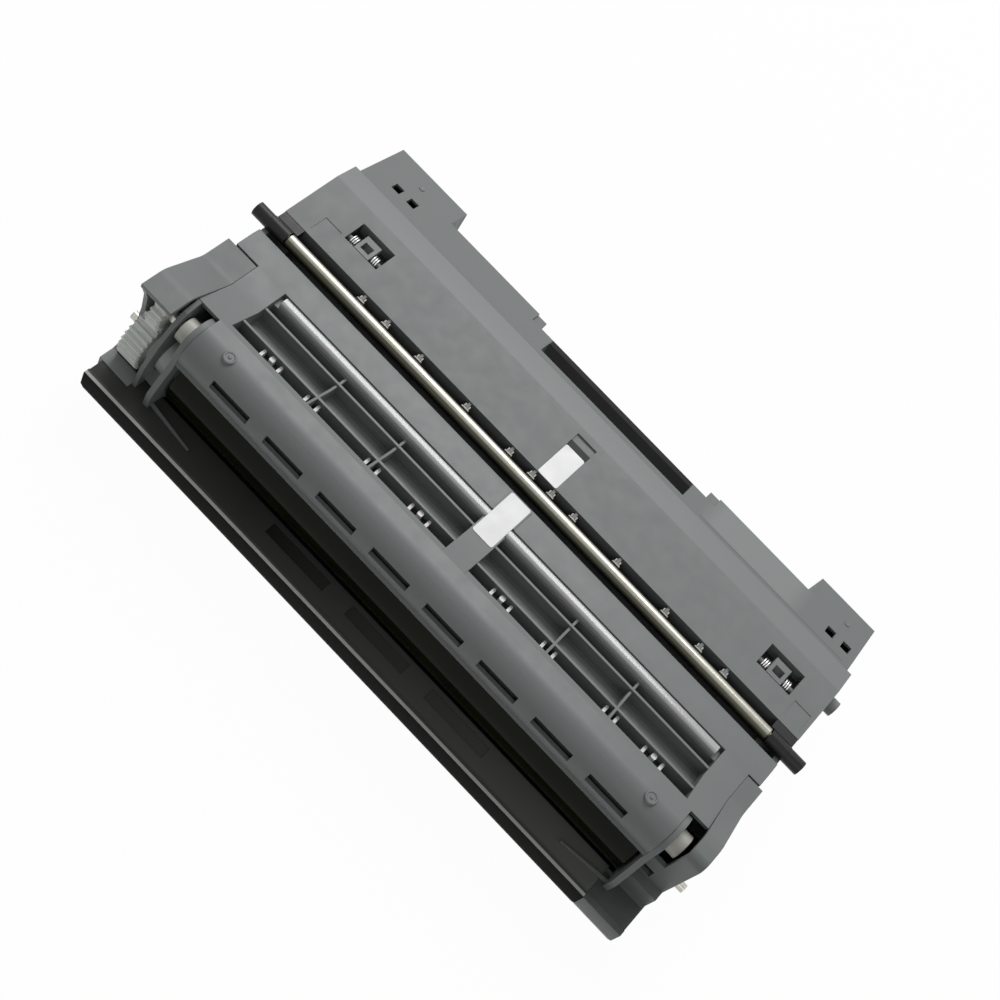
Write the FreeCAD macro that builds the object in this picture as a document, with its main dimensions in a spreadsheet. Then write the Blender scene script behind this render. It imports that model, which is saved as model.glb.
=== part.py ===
import FreeCAD, Part
import Sketcher
import math
import os

# Drum unit of a laser printer, lying upside down with its paper side up.
# Millimetres. X runs along the rollers, -Y is the side where paper leaves, +Z is up.
# Every piece is drawn in the frame of the pinch roller's axis and then lifted to its place.

DIMENSIONS = [
    # place of the pinch roller's axis above the surface that the unit lies on
    ("pinch_y", 2.65, "pinch roller axis, from the middle of the depth"),
    ("pinch_z", 50.0, "pinch roller axis, above the resting plane"),
    ("paper_shift", 4.0, "middle of the paper path, from the middle of the width"),
    # lower frame
    ("frame_half", 133.6, "half the width over the side walls"),
    ("side_wall", 2.4, "side wall thickness"),
    ("plate_top", 1.0, "top of the flat plate"),
    ("plate_wall", 2.5, "plate thickness"),
    ("slot_far", 7.5, "far edge of the roller slot"),
    ("slot_near", -5.8, "near edge of the roller slot"),
    ("bevel_start", 35.5, "where the plate starts to slope"),
    ("plate_far", 46.8, "far edge of the plate"),
    ("bevel_drop", 2.5, "fall of the plate's slope"),
    ("deck_step", 1.5, "step from the plate to the far deck"),
    ("deck_slope", 0.293, "fall of the far deck per millimetre"),
    ("deck_wall", 2.2, "far deck thickness"),
    ("block_far", 77.5, "far face of the corner blocks"),
    ("block_half", 131.8, "half the width over the corner blocks"),
    ("block_inner", 99.5, "inner side of a corner block, from the paper middle"),
    ("block_depth", 22.0, "height of a corner block's far wall"),
    ("ledge_far", 66.0, "far face of the ledges"),
    ("ledge_inner", 50.0, "inner end of a ledge, from the paper middle"),
    ("ledge_depth", 13.0, "height of a ledge's far wall"),
    ("bar_far", 60.4, "far face of the grip bar"),
    ("bar_depth", 8.5, "height of the grip bar"),
    ("grip_half", 38.4, "half the length of the grip slot"),
    ("grip_near", 51.0, "near side of the grip slot"),
    ("grip_width", 6.6, "width of the grip slot"),
    ("gusset_reach", 4.6, "reach of the small gusset beside a ledge"),
    ("base_z", -50.0, "resting plane"),
    ("side_near", -18.0, "near end of the wide side walls"),
    ("side_foot_far", 58.0, "far end of the side walls' foot"),
    ("rail_z", -1.2, "top of the side walls beside the roller"),
    # inner walls that carry the drum
    ("bearing_left", 111.9, "inner face of the left bearing wall"),
    ("bearing_right", 119.8, "inner face of the right bearing wall"),
    ("bearing_wall", 2.3, "bearing wall thickness"),
    ("fin_outer", 122.2, "outer face of the left fin"),
    ("fin_wall", 1.8, "fin thickness"),
    ("wall_top", -3.0, "top of the inner walls under the chute"),
    ("tray_z", -28.5, "tray level"),
    ("tray_lip", 1.4, "height of the low lips on the tray"),
    ("lip_root", 1.2, "thickness of a lip at its wall"),
    ("lip_tip", 0.4, "thickness of a lip at its tip"),
    ("lip_far", -72.0, "place of a lip at its wall"),
    ("lip_near", -74.4, "place of a lip at its tip"),
    ("lip_left_end", 90.5, "inner end of the left lip"),
    ("lip_right_end", 98.5, "inner end of the right lip"),
    # toner bay
    ("guide_far_z", -10.0, "top of the guide at its far end"),
    ("guide_near", -40.0, "near end of the upper paper guide"),
    ("guide_near_z", -15.4, "top of the guide at its near end"),
    ("guide_wall", 2.0, "paper guide thickness"),
    # ribs in the roller slot
    ("slot_rib", 1.2, "rib thickness"),
    ("slot_bar", 0.8, "thickness of the bar at a rib's end"),
    ("slot_bar_half", 1.8, "half the length of the bar"),
    ("slot_rib_near", 3.7, "near edge of the ribs"),
    ("slot_rib_top", 0.4, "top of the ribs"),
    ("slot_rib_foot", -2.6, "bottom of the ribs"),
    # windows of the cartridge press pads
    ("window_x", 108.3, "window middle, from the paper middle"),
    ("window_half", 8.4, "half the window's length"),
    ("window_near", 18.1, "near edge of the window"),
    ("window_far", 29.0, "far edge of the window"),
    ("well_floor", -4.7, "floor of the well under the window"),
    ("well_wall", 1.4, "wall of the well"),
    ("nose_slot_half", 2.6, "half the width of the nose's slot in the well floor"),
    ("pad_half", 3.65, "half the width of the pad's tab"),
    ("pad_far", 26.6, "far edge of the pad's tab"),
    ("pad_near", 18.6, "near edge of the pad's tab"),
    ("pad_top", 0.7, "top of the pad's tab"),
    ("pad_thick", 1.6, "thickness of the pad's tab"),
    ("pad_hole_half", 2.15, "half the width of the pad's dark opening"),
    ("pad_hole_near", 20.4, "near edge of the pad's opening"),
    ("pad_hole_far", 23.9, "far edge of the pad's opening"),
    ("pad_axis_y", 21.6, "hinge of the pad"),
    ("pad_axis_z", -1.6, "height of the pad's hinge"),
    ("pad_pin_r", 1.2, "hinge pin radius"),
    ("pad_pin_reach", 9.3, "end of the hinge pin, from the pad's middle"),
    ("nose_half", 2.4, "half the width of the pad's nose"),
    ("nose_near", 24.2, "near face of the pad's nose"),
    ("nose_low", -6.8, "lower end of the pad's nose, in the bay"),
    ("pad_gap", 0.2, "clearance around sliding details"),
    ("spring_start", 4.3, "inner end of a spring, from the pad's middle"),
    ("spring_long", 2.5, "length of a spring between its end turns' middles"),
    ("spring_r", 2.3, "mean radius of a spring"),
    ("spring_wire", 0.33, "radius of a spring's wire"),
    ("spring_turns", 2.0, "turns of a spring"),
    # recess of the square label on the plate
    ("label_half", 4.9, "half the width of both labels"),
    ("recess_near", 25.4, "near edge of the bare recess"),
    ("recess_far", 32.4, "far edge of the bare recess"),
    ("recess_depth", 0.8, "depth of the bare recess"),
    ("label_seat", 0.25, "depth of the label's seat"),
    ("label_thick", 0.2, "label thickness"),
    ("mark_left", 114.5, "inner side of the left shallow recess"),
    ("mark_right", 123.4, "inner side of the right shallow recess"),
    ("mark_long", 8.4, "length of the shallow recesses"),
    ("mark_near", 10.0, "near edge of the shallow recesses"),
    ("mark_far", 18.6, "far edge of the shallow recesses"),
    # square holes in the corner blocks
    ("square_inner", 114.2, "inner square hole, from the paper middle"),
    ("square_outer", 122.3, "outer square hole, from the paper middle"),
    ("square_half", 2.05, "half the side of a square hole"),
    ("square_y", 57.2, "place of the square holes"),
    # guide boss on the right side wall
    ("boss_y", 34.6, "guide boss axis"),
    ("boss_z", -8.0, "height of the guide boss"),
    ("boss_r", 3.3, "guide boss radius"),
    ("boss_reach", 4.6, "reach of the guide boss"),
    # pinch roller
    ("pinch_r", 3.0, "metal roller radius"),
    ("pinch_half", 124.2, "half the metal roller's length"),
    ("journal_r", 2.0, "journal radius"),
    ("sleeve_r", 3.0, "radius of a sleeve's free end"),
    ("sleeve_collar_r", 3.2, "radius of a sleeve in its wall"),
    ("sleeve_tip", 140.75, "outer end of a sleeve"),
    ("sleeve_gap", 0.3, "gap between the roller's shoulder and the sleeve"),
    ("sleeve_cap", 1.8, "closed end of a sleeve"),
    ("running_fit", 0.05, "radial clearance of a running fit"),
    ("seat_fit", 0.05, "radial clearance of a seated part"),
    ("block_near", 3.4, "near face of a black bearing block"),
    ("block_top", 0.9, "top of a black bearing block"),
    ("part_gap", 0.1, "clearance between parts that are clipped together"),
    # chute
    ("band_crease", -10.0, "crease of the chute's band"),
    ("band_edge_z", 0.3, "height of the band at the roller slot"),
    ("band_near", -17.7, "near edge of the band"),
    ("chute_wall", 2.0, "chute skin"),
    ("flank_y", -22.8, "dark flank beside the polished strip"),
    ("strip_seat", -1.4, "seat of the polished strip"),
    ("floor_top", -6.3, "floor of the grid"),
    ("floor_wall", 1.6, "grid floor thickness"),
    ("slope_start", -31.5, "where the housings start to rise"),
    ("grid_near", -49.4, "near wall of the grid"),
    ("near_wall", 1.5, "wall thickness of the grid"),
    ("foam_gap", 0.4, "clearance between the foam roller and the grid's near wall"),
    ("grid_near_z", 8.9, "top of the grid's near wall"),
    ("grid_half", 112.2, "half the length of the grid, from the paper middle"),
    ("flat_z", 1.2, "level of the housings' flat part"),
    ("grid_rib", 1.0, "grid rib thickness"),
    ("rib_near_y", -40.3, "near long rib"),
    ("rib_far_y", -28.1, "far long rib"),
    ("rib_inner_x", 44.0, "inner cross rib, from the paper middle"),
    ("rib_outer_x", 74.6, "outer cross rib, from the paper middle"),
    ("rib_drop", 0.6, "drop of the ribs' tops below the housing line"),
    ("bridge_half", 5.5, "half the width of the centre bridge"),
    ("bridge_rise", 0.2, "rise of the centre bridge above the housing line"),
    ("bridge_far", -7.0, "far end of the centre bridge"),
    ("bridge_label_near", -30.0, "near end of the bridge label"),
    ("end_left", 122.2, "left end of the chute's end skin"),
    ("end_right", 128.0, "right end of the chute's end skin"),
    # polished strip
    ("strip_half", 110.4, "half the strip's length"),
    ("strip_far", -17.9, "far edge of the strip"),
    ("strip_near", -22.1, "near edge of the strip"),
    ("strip_rise", 2.7, "height of the strip"),
    ("strip_round", 1.6, "rounding of the strip"),
    # white paper runners
    ("runner_wide", 1.3, "width of a runner's prong"),
    ("runner_deep", 3.7, "depth of a runner's prong"),
    ("runner_top", 1.0, "top of a runner's prong"),
    ("runner_group", 95.2, "outer runner, from the paper middle"),
    ("runner_inner", 20.4, "inner runner, from the paper middle"),
    ("runner_spread", 4.2, "prong's distance from the runner's middle"),
    ("runner_rib_spread", 2.6, "prong's distance from a cross rib"),
    ("runner_head", 2.2, "side of a runner's head"),
    # transfer roller and its cover
    ("transfer_y", -56.2, "transfer roller axis"),
    ("transfer_z", -0.5, "height of the transfer roller's axis"),
    ("foam_r", 7.7, "foam radius"),
    ("foam_half", 112.0, "half the foam's length, from the paper middle"),
    ("transfer_shaft_r", 2.5, "transfer shaft radius"),
    ("cover_r", 10.5, "outer radius of the rounded cover"),
    ("cover_wall", 1.6, "cover thickness"),
    ("cover_half", 115.6, "half the cover's length, from the paper middle"),
    ("cover_far", -49.6, "far edge of the cover"),
    ("cover_far_z", 9.5, "top of the cover at its far edge"),
    ("cover_lip_angle", 20.0, "angle of the lower lip below the axis, in degrees"),
    ("lip_reach", 1.1, "reach of the lower lip"),
    ("lip_thick", 1.5, "thickness of the lower lip"),
    ("cover_slot_pitch", 26.3, "pitch of the cover's slots"),
    ("cover_slot_half", 9.0, "half the length of a slot"),
    ("cover_slot_low", 1.3, "lower edge of the slots"),
    ("cover_slot_high", 4.9, "upper edge of the slots"),
    ("ring_x", 102.7, "ring mark, from the paper middle"),
    ("ring_y", -57.6, "place of the ring marks"),
    ("ring_outer", 2.6, "outer radius of a ring mark"),
    ("bush_r", 5.0, "bush radius"),
    ("bush_long", 5.2, "length of the bush outside its wall"),
    # gears
    ("gear_module", 0.8, "module of the gears"),
    ("drum_teeth", 31, "teeth of the drum gear"),
    ("transfer_teeth", 19, "teeth of the transfer gear"),
    ("backlash", 0.14, "backlash on the pitch line"),
    ("gear_inner", 125.5, "inner face of the gears"),
    ("drum_gear_width", 9.2, "face width of the drum gear"),
    ("transfer_gear_width", 5.4, "face width of the transfer gear"),
    # drum
    ("drum_r", 12.0, "drum radius"),
    ("drum_wall", 0.8, "drum tube wall"),
    ("drum_end_gap", 1.2, "gap between the drum tube and the bearing walls"),
    ("drum_shaft_r", 2.0, "drum shaft radius"),
    ("shaft_end_r", 1.8, "radius of the drum shaft's free ends"),
    ("drum_shaft_tip", 140.4, "end of the drum shaft"),
    ("hub_r", 7.8, "gear hub radius"),
    ("hub_clear", 0.5, "clearance around the gear hub"),
    ("plug_long", 7.0, "length of the flange inside the tube"),
    # end covers
    ("left_outer", 136.9, "outer face of the left end cover"),
    ("right_outer", 135.4, "outer face of the right end cover"),
    ("cover_skin", 2.0, "end cover skin"),
    ("hump_far", -18.6, "far edge of the end covers"),
    ("hump_top", 12.0, "top of the end covers"),
    ("hump_crest", -53.0, "far end of the covers' crest"),
    ("hump_near", -63.6, "near edge of the covers' crest"),
    ("hump_round_low", 9.0, "rounding at the foot of the hump"),
    ("hump_round_high", 11.0, "rounding at the crest of the hump"),
    ("hump_round_near", 4.0, "rounding above the right cover's near wall"),
    ("foot_far", -67.6, "far face of the end covers' feet"),
    ("foot_near", -74.0, "near face of the left foot"),
    ("notch_inner", 128.1, "inner side of the right cover's crest"),
    ("wall_low", -20.0, "lower end of the right cover's near wall"),
    ("square_port", 2.4, "half the side of the right cover's square port"),
    # rear charger cover
    ("rim_near", -82.8, "near face of the rim"),
    ("rim_wide", 2.6, "width of the rim"),
    ("rim_rise", 0.9, "rise of the rim above the tray"),
    ("rim_low", -35.5, "lower end of the rim's upright face"),
    ("tray_far", -66.9, "far edge of the tray"),
    ("box_left", 135.4, "left end of the rear box"),
    ("box_right", 117.2, "right end of the rear box"),
    ("box_wall", 2.1, "rear box wall"),
    ("charger_far", -38.0, "far face of the charger cover"),
    ("charger_far_z", -34.0, "top of the charger cover at its far face"),
    ("drum_clear", 1.4, "clearance between the drum and the charger cover"),
    ("recess_pitch", 40.4, "pitch of the shallow recesses in the tray"),
    ("recess_half", 14.5, "half the length of a tray recess"),
    ("recess_wide", 5.0, "width of a tray recess"),
    ("recess_sink", 0.4, "depth of a tray recess"),
    ("channel_half", 5.0, "half the width of the charger channel"),
    ("channel_floor", -47.4, "floor of the charger channel"),
    # charger
    ("shield_wall", 0.5, "charger shield thickness"),
    ("shield_top", -36.4, "top of the charger shield"),
    ("wire_z", -41.2, "height of the charger wire"),
    ("wire_r", 0.12, "half the charger wire's thickness"),
    ("grid_z", -35.6, "height of the charger grid"),
    ("grid_thick", 0.3, "charger grid thickness"),
    ("holder_long", 5.0, "length of a charger end holder"),
    ("cleaner_x", -98.0, "middle of the wire cleaner at home"),
    ("cleaner_half", 4.0, "half the wire cleaner's length"),
    ("cleaner_slot_half", 1.6, "half the width of the cleaner's slot"),
    ("cleaner_travel", 196.0, "travel of the wire cleaner"),
    ("tab_half", 3.6, "half the width of the cleaner's tab"),
    ("tab_groove", 1.6, "depth of the groove for the cleaner's tab"),
    # screws of the charger cover
    ("screw_x", 94.4, "screw, from the paper middle"),
    ("screw_y", -41.6, "place of the screws"),
    ("screw_sink", 3.0, "depth of a screw's counterbore"),
    ("screw_head_r", 2.4, "screw head radius"),
    # cartridge release lever
    ("lever_y", 62.0, "lever pivot"),
    ("lever_z", -27.0, "height of the lever's pivot"),
    ("lever_hub", 4.2, "lever hub radius"),
    ("lever_pin", 2.0, "lever pin radius"),
    ("lever_wide", 5.0, "lever thickness"),
    ("lever_gap", 0.5, "gap between the lever and the side wall"),
    ("lever_arm", 3.0, "half the width of the lever's arm"),
    ("lever_low", -37.0, "lower end of the lever's arm"),
    ("lever_tab", 70.0, "far end of the lever's tab"),
    ("lever_tab_thick", 2.6, "thickness of the lever's tab"),
    # earth plate
    ("earth_thick", 0.5, "earth plate thickness"),
    ("earth_half", 5.0, "half the earth plate's width"),
    ("earth_low", -30.0, "lower end of the earth plate"),
]


class Size:
    """A number of the model with the sheet expression that gives it."""

    def __init__(self, value, text):
        self.value = float(value)
        self.text = text

    def __add__(self, other):
        other = as_size(other)
        return Size(self.value + other.value, f"({self.text} + {other.text})")

    def __sub__(self, other):
        other = as_size(other)
        return Size(self.value - other.value, f"({self.text} - {other.text})")

    def __mul__(self, other):
        other = as_size(other)
        return Size(self.value * other.value, f"({self.text} * {other.text})")

    def __truediv__(self, other):
        other = as_size(other)
        return Size(self.value / other.value, f"({self.text} / {other.text})")

    def __neg__(self):
        return Size(-self.value, f"(0 - {self.text})")

    def __radd__(self, other):
        return as_size(other) + self

    def __rsub__(self, other):
        return as_size(other) - self

    def __rmul__(self, other):
        return as_size(other) * self


def as_size(number):
    """A plain number as a Size."""
    if isinstance(number, Size):
        return number
    return Size(number, f"{float(number):.6f}")


class Sheet:
    """The spreadsheet of driving dimensions, read by alias."""

    def __init__(self, document, rows):
        self.rows = {}
        table = document.addObject("Spreadsheet::Sheet", "Dims")
        for index, (alias, value, remark) in enumerate(rows):
            cell = f"B{index + 1}"
            table.set(f"A{index + 1}", remark)
            table.set(cell, str(value))
            table.setAlias(cell, alias)
            self.rows[alias] = Size(value, f"Dims.{alias}")

    def __getattr__(self, alias):
        return self.rows[alias]


DOC = FreeCAD.newDocument("DrumUnit")
D = Sheet(DOC, DIMENSIONS)
DOC.recompute()

NODES = []


def bind(thing, name, size):
    """Tie one property to the sheet."""
    thing.setExpression(name, as_size(size).text)


def lift(thing):
    """Lift a piece from the pinch roller's frame to its place in the unit."""
    bind(thing, "Placement.Base.y", D.pinch_y)
    bind(thing, "Placement.Base.z", D.pinch_z)


def rectangle(u_low, u_high, v_low, v_high):
    """Corners of a rectangle."""
    return [(u_low, v_low), (u_high, v_low), (u_high, v_high), (u_low, v_high)]


def paper(offset):
    """Place along the width, counted from the paper path's middle."""
    return D.paper_shift + offset


class Piece:
    """A moulded, cut or turned piece: one body with its sketches and features."""

    def __init__(self, label):
        self.label = label
        self.count = 0
        self.body = DOC.addObject("PartDesign::Body", label)
        self.body.Label = label
        lift(self.body)
        NODES.append(self.body)

    def _sketch(self, plane, height):
        self.count += 1
        sketch = self.body.newObject("Sketcher::SketchObject", f"{self.label}_sketch_{self.count}")
        planes = [part for part in self.body.Origin.OriginFeatures if part.Role == plane]
        sketch.AttachmentSupport = [(planes[0], "")]
        sketch.MapMode = "FlatFace"
        bind(sketch, "AttachmentOffset.Base.z", height)
        return sketch

    def _place(self, sketch, geometry, position, u, v):
        for kind, size in (("DistanceX", as_size(u)), ("DistanceY", as_size(v))):
            number = sketch.addConstraint(
                Sketcher.Constraint(kind, -1, 1, geometry, position, size.value)
            )
            sketch.setExpression(f"Constraints[{number}]", size.text)

    def _loop(self, sketch, corners):
        first = sketch.GeometryCount
        total = len(corners)
        points = [FreeCAD.Vector(as_size(u).value, as_size(v).value, 0) for u, v in corners]
        for index in range(total):
            line = Part.LineSegment(points[index], points[(index + 1) % total])
            sketch.addGeometry(line, False)
        for index in range(total):
            following = first + (index + 1) % total
            sketch.addConstraint(Sketcher.Constraint("Coincident", first + index, 2, following, 1))
        for index, (u, v) in enumerate(corners):
            self._place(sketch, first + index, 1, u, v)

    def _circle(self, sketch, u, v, radius):
        centre = FreeCAD.Vector(as_size(u).value, as_size(v).value, 0)
        size = as_size(radius)
        circle = Part.Circle(centre, FreeCAD.Vector(0, 0, 1), size.value)
        index = sketch.addGeometry(circle, False)
        self._place(sketch, index, 3, u, v)
        number = sketch.addConstraint(Sketcher.Constraint("Radius", index, size.value))
        sketch.setExpression(f"Constraints[{number}]", size.text)

    def _feature(self, kind, plane, height, length, loops, circles):
        sketch = self._sketch(plane, height)
        for corners in loops:
            self._loop(sketch, corners)
        for u, v, radius in circles:
            self._circle(sketch, u, v, radius)
        feature = self.body.newObject(f"PartDesign::{kind}", f"{self.label}_{kind}_{self.count}")
        feature.Profile = sketch
        bind(feature, "Length", length)
        return feature

    def add_x(self, low, high, *loops, circles=()):
        """Add the outline in Y and Z from low to high along X."""
        return self._feature("Pad", "YZ_Plane", low, high - low, loops, circles)

    def cut_x(self, low, high, *loops, circles=()):
        """Cut the outline in Y and Z from low to high along X."""
        return self._feature("Pocket", "YZ_Plane", high, high - low, loops, circles)

    def add_z(self, low, high, *loops, circles=()):
        """Add the outline in X and Y from low to high along Z."""
        return self._feature("Pad", "XY_Plane", low, high - low, loops, circles)

    def cut_z(self, low, high, *loops, circles=()):
        """Cut the outline in X and Y from low to high along Z."""
        return self._feature("Pocket", "XY_Plane", high, high - low, loops, circles)

    def add_y(self, low, high, *loops, circles=()):
        """Add the outline in X and Z from low to high along Y."""
        return self._feature("Pad", "XZ_Plane", -high, high - low, loops, circles)

    def cut_y(self, low, high, *loops, circles=()):
        """Cut the outline in X and Z from low to high along Y."""
        return self._feature("Pocket", "XZ_Plane", -low, high - low, loops, circles)

    def round_x(self, radius, *places):
        """Round the edges along X that pass the given places in Y and Z."""
        DOC.recompute()
        base = self.body.Tip
        names = []
        for number, edge in enumerate(base.Shape.Edges, 1):
            box = edge.BoundBox
            if box.XLength < 1.0 or box.YLength > 0.01 or box.ZLength > 0.01:
                continue
            for y, z in places:
                near_y = abs(box.YMin - as_size(y).value) < 0.05
                near_z = abs(box.ZMin - as_size(z).value) < 0.05
                if near_y and near_z:
                    names.append(f"Edge{number}")
        fillet = self.body.newObject("PartDesign::Fillet", f"{self.label}_round_{self.count}")
        self.count += 1
        fillet.Base = (base, names)
        bind(fillet, "Radius", radius)
        return fillet


# Lines that several pieces share

DECK_Z = D.plate_top - D.bevel_drop - D.deck_step


def deck_height(y):
    """Top of the sloping far deck at a place in Y."""
    return DECK_Z - D.deck_slope * (y - D.plate_far)


def slope_height(y):
    """Top of the housings' slope at a place in Y."""
    rise = (D.grid_near_z - D.flat_z) / (D.slope_start - D.grid_near)
    return D.flat_z + rise * (D.slope_start - y)


def housing_line(drop):
    """Top line of the chute's end skins and ribs, lowered by drop."""
    return [
        (D.band_near, D.flat_z - drop),
        (D.slope_start, D.flat_z - drop),
        (D.grid_near, D.grid_near_z - drop),
    ]


DRUM_Y = D.transfer_y
GEAR_DISTANCE = D.gear_module * (D.drum_teeth + D.transfer_teeth) / 2
DRUM_Z = D.transfer_z - GEAR_DISTANCE
BORE_R = D.drum_shaft_r + D.running_fit


def make_main_frame():
    """Lower frame: plate, far deck with corner blocks, side and bearing walls, paper guide."""
    frame = Piece("main_frame")
    half = D.frame_half
    under = D.plate_top - D.plate_wall
    frame.add_x(-half, half, [
        (D.slot_far, D.plate_top),
        (D.bevel_start, D.plate_top),
        (D.plate_far, D.plate_top - D.bevel_drop),
        (D.plate_far, DECK_Z - D.deck_wall),
        (D.bevel_start, under),
        (D.slot_far + D.side_wall, under),
        (D.slot_far + D.side_wall, D.guide_far_z - D.guide_wall),
        (D.guide_near, D.guide_near_z - D.guide_wall),
        (D.guide_near, D.guide_near_z),
        (D.slot_far, D.guide_far_z),
    ])
    # the guide ends inside the right end cover
    inside = D.right_outer - D.cover_skin - D.part_gap
    frame.cut_x(inside, half, rectangle(
        D.guide_near - 1, D.hump_far + D.part_gap,
        D.guide_near_z - D.guide_wall - 1, D.guide_far_z,
    ))
    far_deck(frame)
    side_walls(frame)
    bearing_walls(frame)
    plate_details(frame)
    return frame


def far_deck(frame):
    """Sloping deck beyond the plate, with corner blocks, ledges and the grip bar."""
    start = D.plate_far - D.deck_wall
    inner = D.deck_wall

    def skin(far, depth):
        top = deck_height(far)
        return [
            (start, DECK_Z),
            (D.plate_far, DECK_Z),
            (far, top),
            (far, top - depth),
            (far - inner, top - depth),
            (far - inner, deck_height(far - inner) - inner),
            (D.plate_far, DECK_Z - inner),
            (start, DECK_Z - inner),
        ]

    block = skin(D.block_far, D.block_depth)
    ledge = skin(D.ledge_far, D.ledge_depth)
    bar = skin(D.bar_far, D.bar_depth)
    frame.add_x(-D.block_half, paper(-D.block_inner), block)
    frame.add_x(paper(D.block_inner), D.block_half, block)
    frame.add_x(paper(-D.block_inner), paper(-D.ledge_inner), ledge)
    frame.add_x(paper(D.ledge_inner), paper(D.block_inner), ledge)
    frame.add_x(paper(-D.ledge_inner), paper(D.ledge_inner), bar)

    def cheek(near, far, depth):
        top = deck_height(far)
        return [
            (near, deck_height(near) - inner / 2),
            (far - inner / 2, top - inner / 2),
            (far - inner / 2, top - depth),
            (near, top - depth),
        ]

    block_cheek = cheek(D.ledge_far - inner, D.block_far, D.block_depth)
    frame.add_x(paper(-D.block_inner) - D.side_wall, paper(-D.block_inner), block_cheek)
    frame.add_x(paper(D.block_inner), paper(D.block_inner) + D.side_wall, block_cheek)
    ledge_cheek = cheek(D.bar_far - inner, D.ledge_far, D.ledge_depth)
    frame.add_x(paper(-D.ledge_inner) - D.side_wall, paper(-D.ledge_inner), ledge_cheek)
    frame.add_x(paper(D.ledge_inner), paper(D.ledge_inner) + D.side_wall, ledge_cheek)
    gusset = [
        (D.bar_far, deck_height(D.bar_far) - inner / 2),
        (D.ledge_far, deck_height(D.ledge_far) - inner / 2),
        (D.bar_far, deck_height(D.bar_far) - D.bar_depth),
    ]
    frame.add_x(paper(-D.ledge_inner), paper(-D.ledge_inner) + D.gusset_reach, gusset)
    frame.add_x(paper(D.ledge_inner) - D.gusset_reach, paper(D.ledge_inner), gusset)
    top = D.plate_top
    frame.cut_z(
        D.base_z, top,
        rectangle(
            paper(-D.grip_half), paper(D.grip_half), D.grip_near, D.grip_near + D.grip_width
        ),
    )


def side_walls(frame):
    """Wide side walls, and the walls of the corner blocks."""
    wide = [
        (D.side_near, D.rail_z),
        (D.slot_far, D.rail_z),
        (D.slot_far, D.plate_top - D.plate_wall / 2),
        (D.bevel_start, D.plate_top - D.plate_wall / 2),
        (D.plate_far, DECK_Z),
        (D.plate_far, D.base_z),
        (D.side_near, D.base_z),
    ]
    inner = D.deck_wall / 2
    corner = [
        (D.plate_far - D.deck_wall, DECK_Z - inner),
        (D.block_far, deck_height(D.block_far) - inner),
        (D.block_far, deck_height(D.block_far) - D.block_depth),
        (D.side_foot_far, D.base_z),
        (D.plate_far - D.deck_wall, D.base_z),
    ]
    for side in (-1, 1):
        low, high = ordered(side * D.frame_half, side * (D.frame_half - D.side_wall))
        frame.add_x(low, high, wide)
        low, high = ordered(side * D.block_half, side * (D.block_half - D.side_wall))
        frame.add_x(low, high, corner)
        # seat of the pinch roller's sleeve
        low, high = ordered(side * D.frame_half, side * (D.frame_half - D.side_wall))
        seat = D.sleeve_collar_r + D.seat_fit
        frame.cut_x(
            low, high,
            rectangle(-seat, seat, 0, -D.rail_z + 1),
            circles=(),
        )
        frame.cut_x(low, high, circles=((0, 0, seat),))
        # lever pin and guide boss
    pin_wall = D.block_half - D.side_wall
    frame.add_x(
        -pin_wall, -pin_wall + D.lever_gap + D.lever_wide,
        circles=((D.lever_y, D.lever_z, D.lever_pin),),
    )
    frame.add_x(D.frame_half, D.frame_half + D.boss_reach, circles=((D.boss_y, D.boss_z, D.boss_r),))


def ordered(first, second):
    """Two sizes with the lower one first."""
    if first.value <= second.value:
        return first, second
    return second, first


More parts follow.
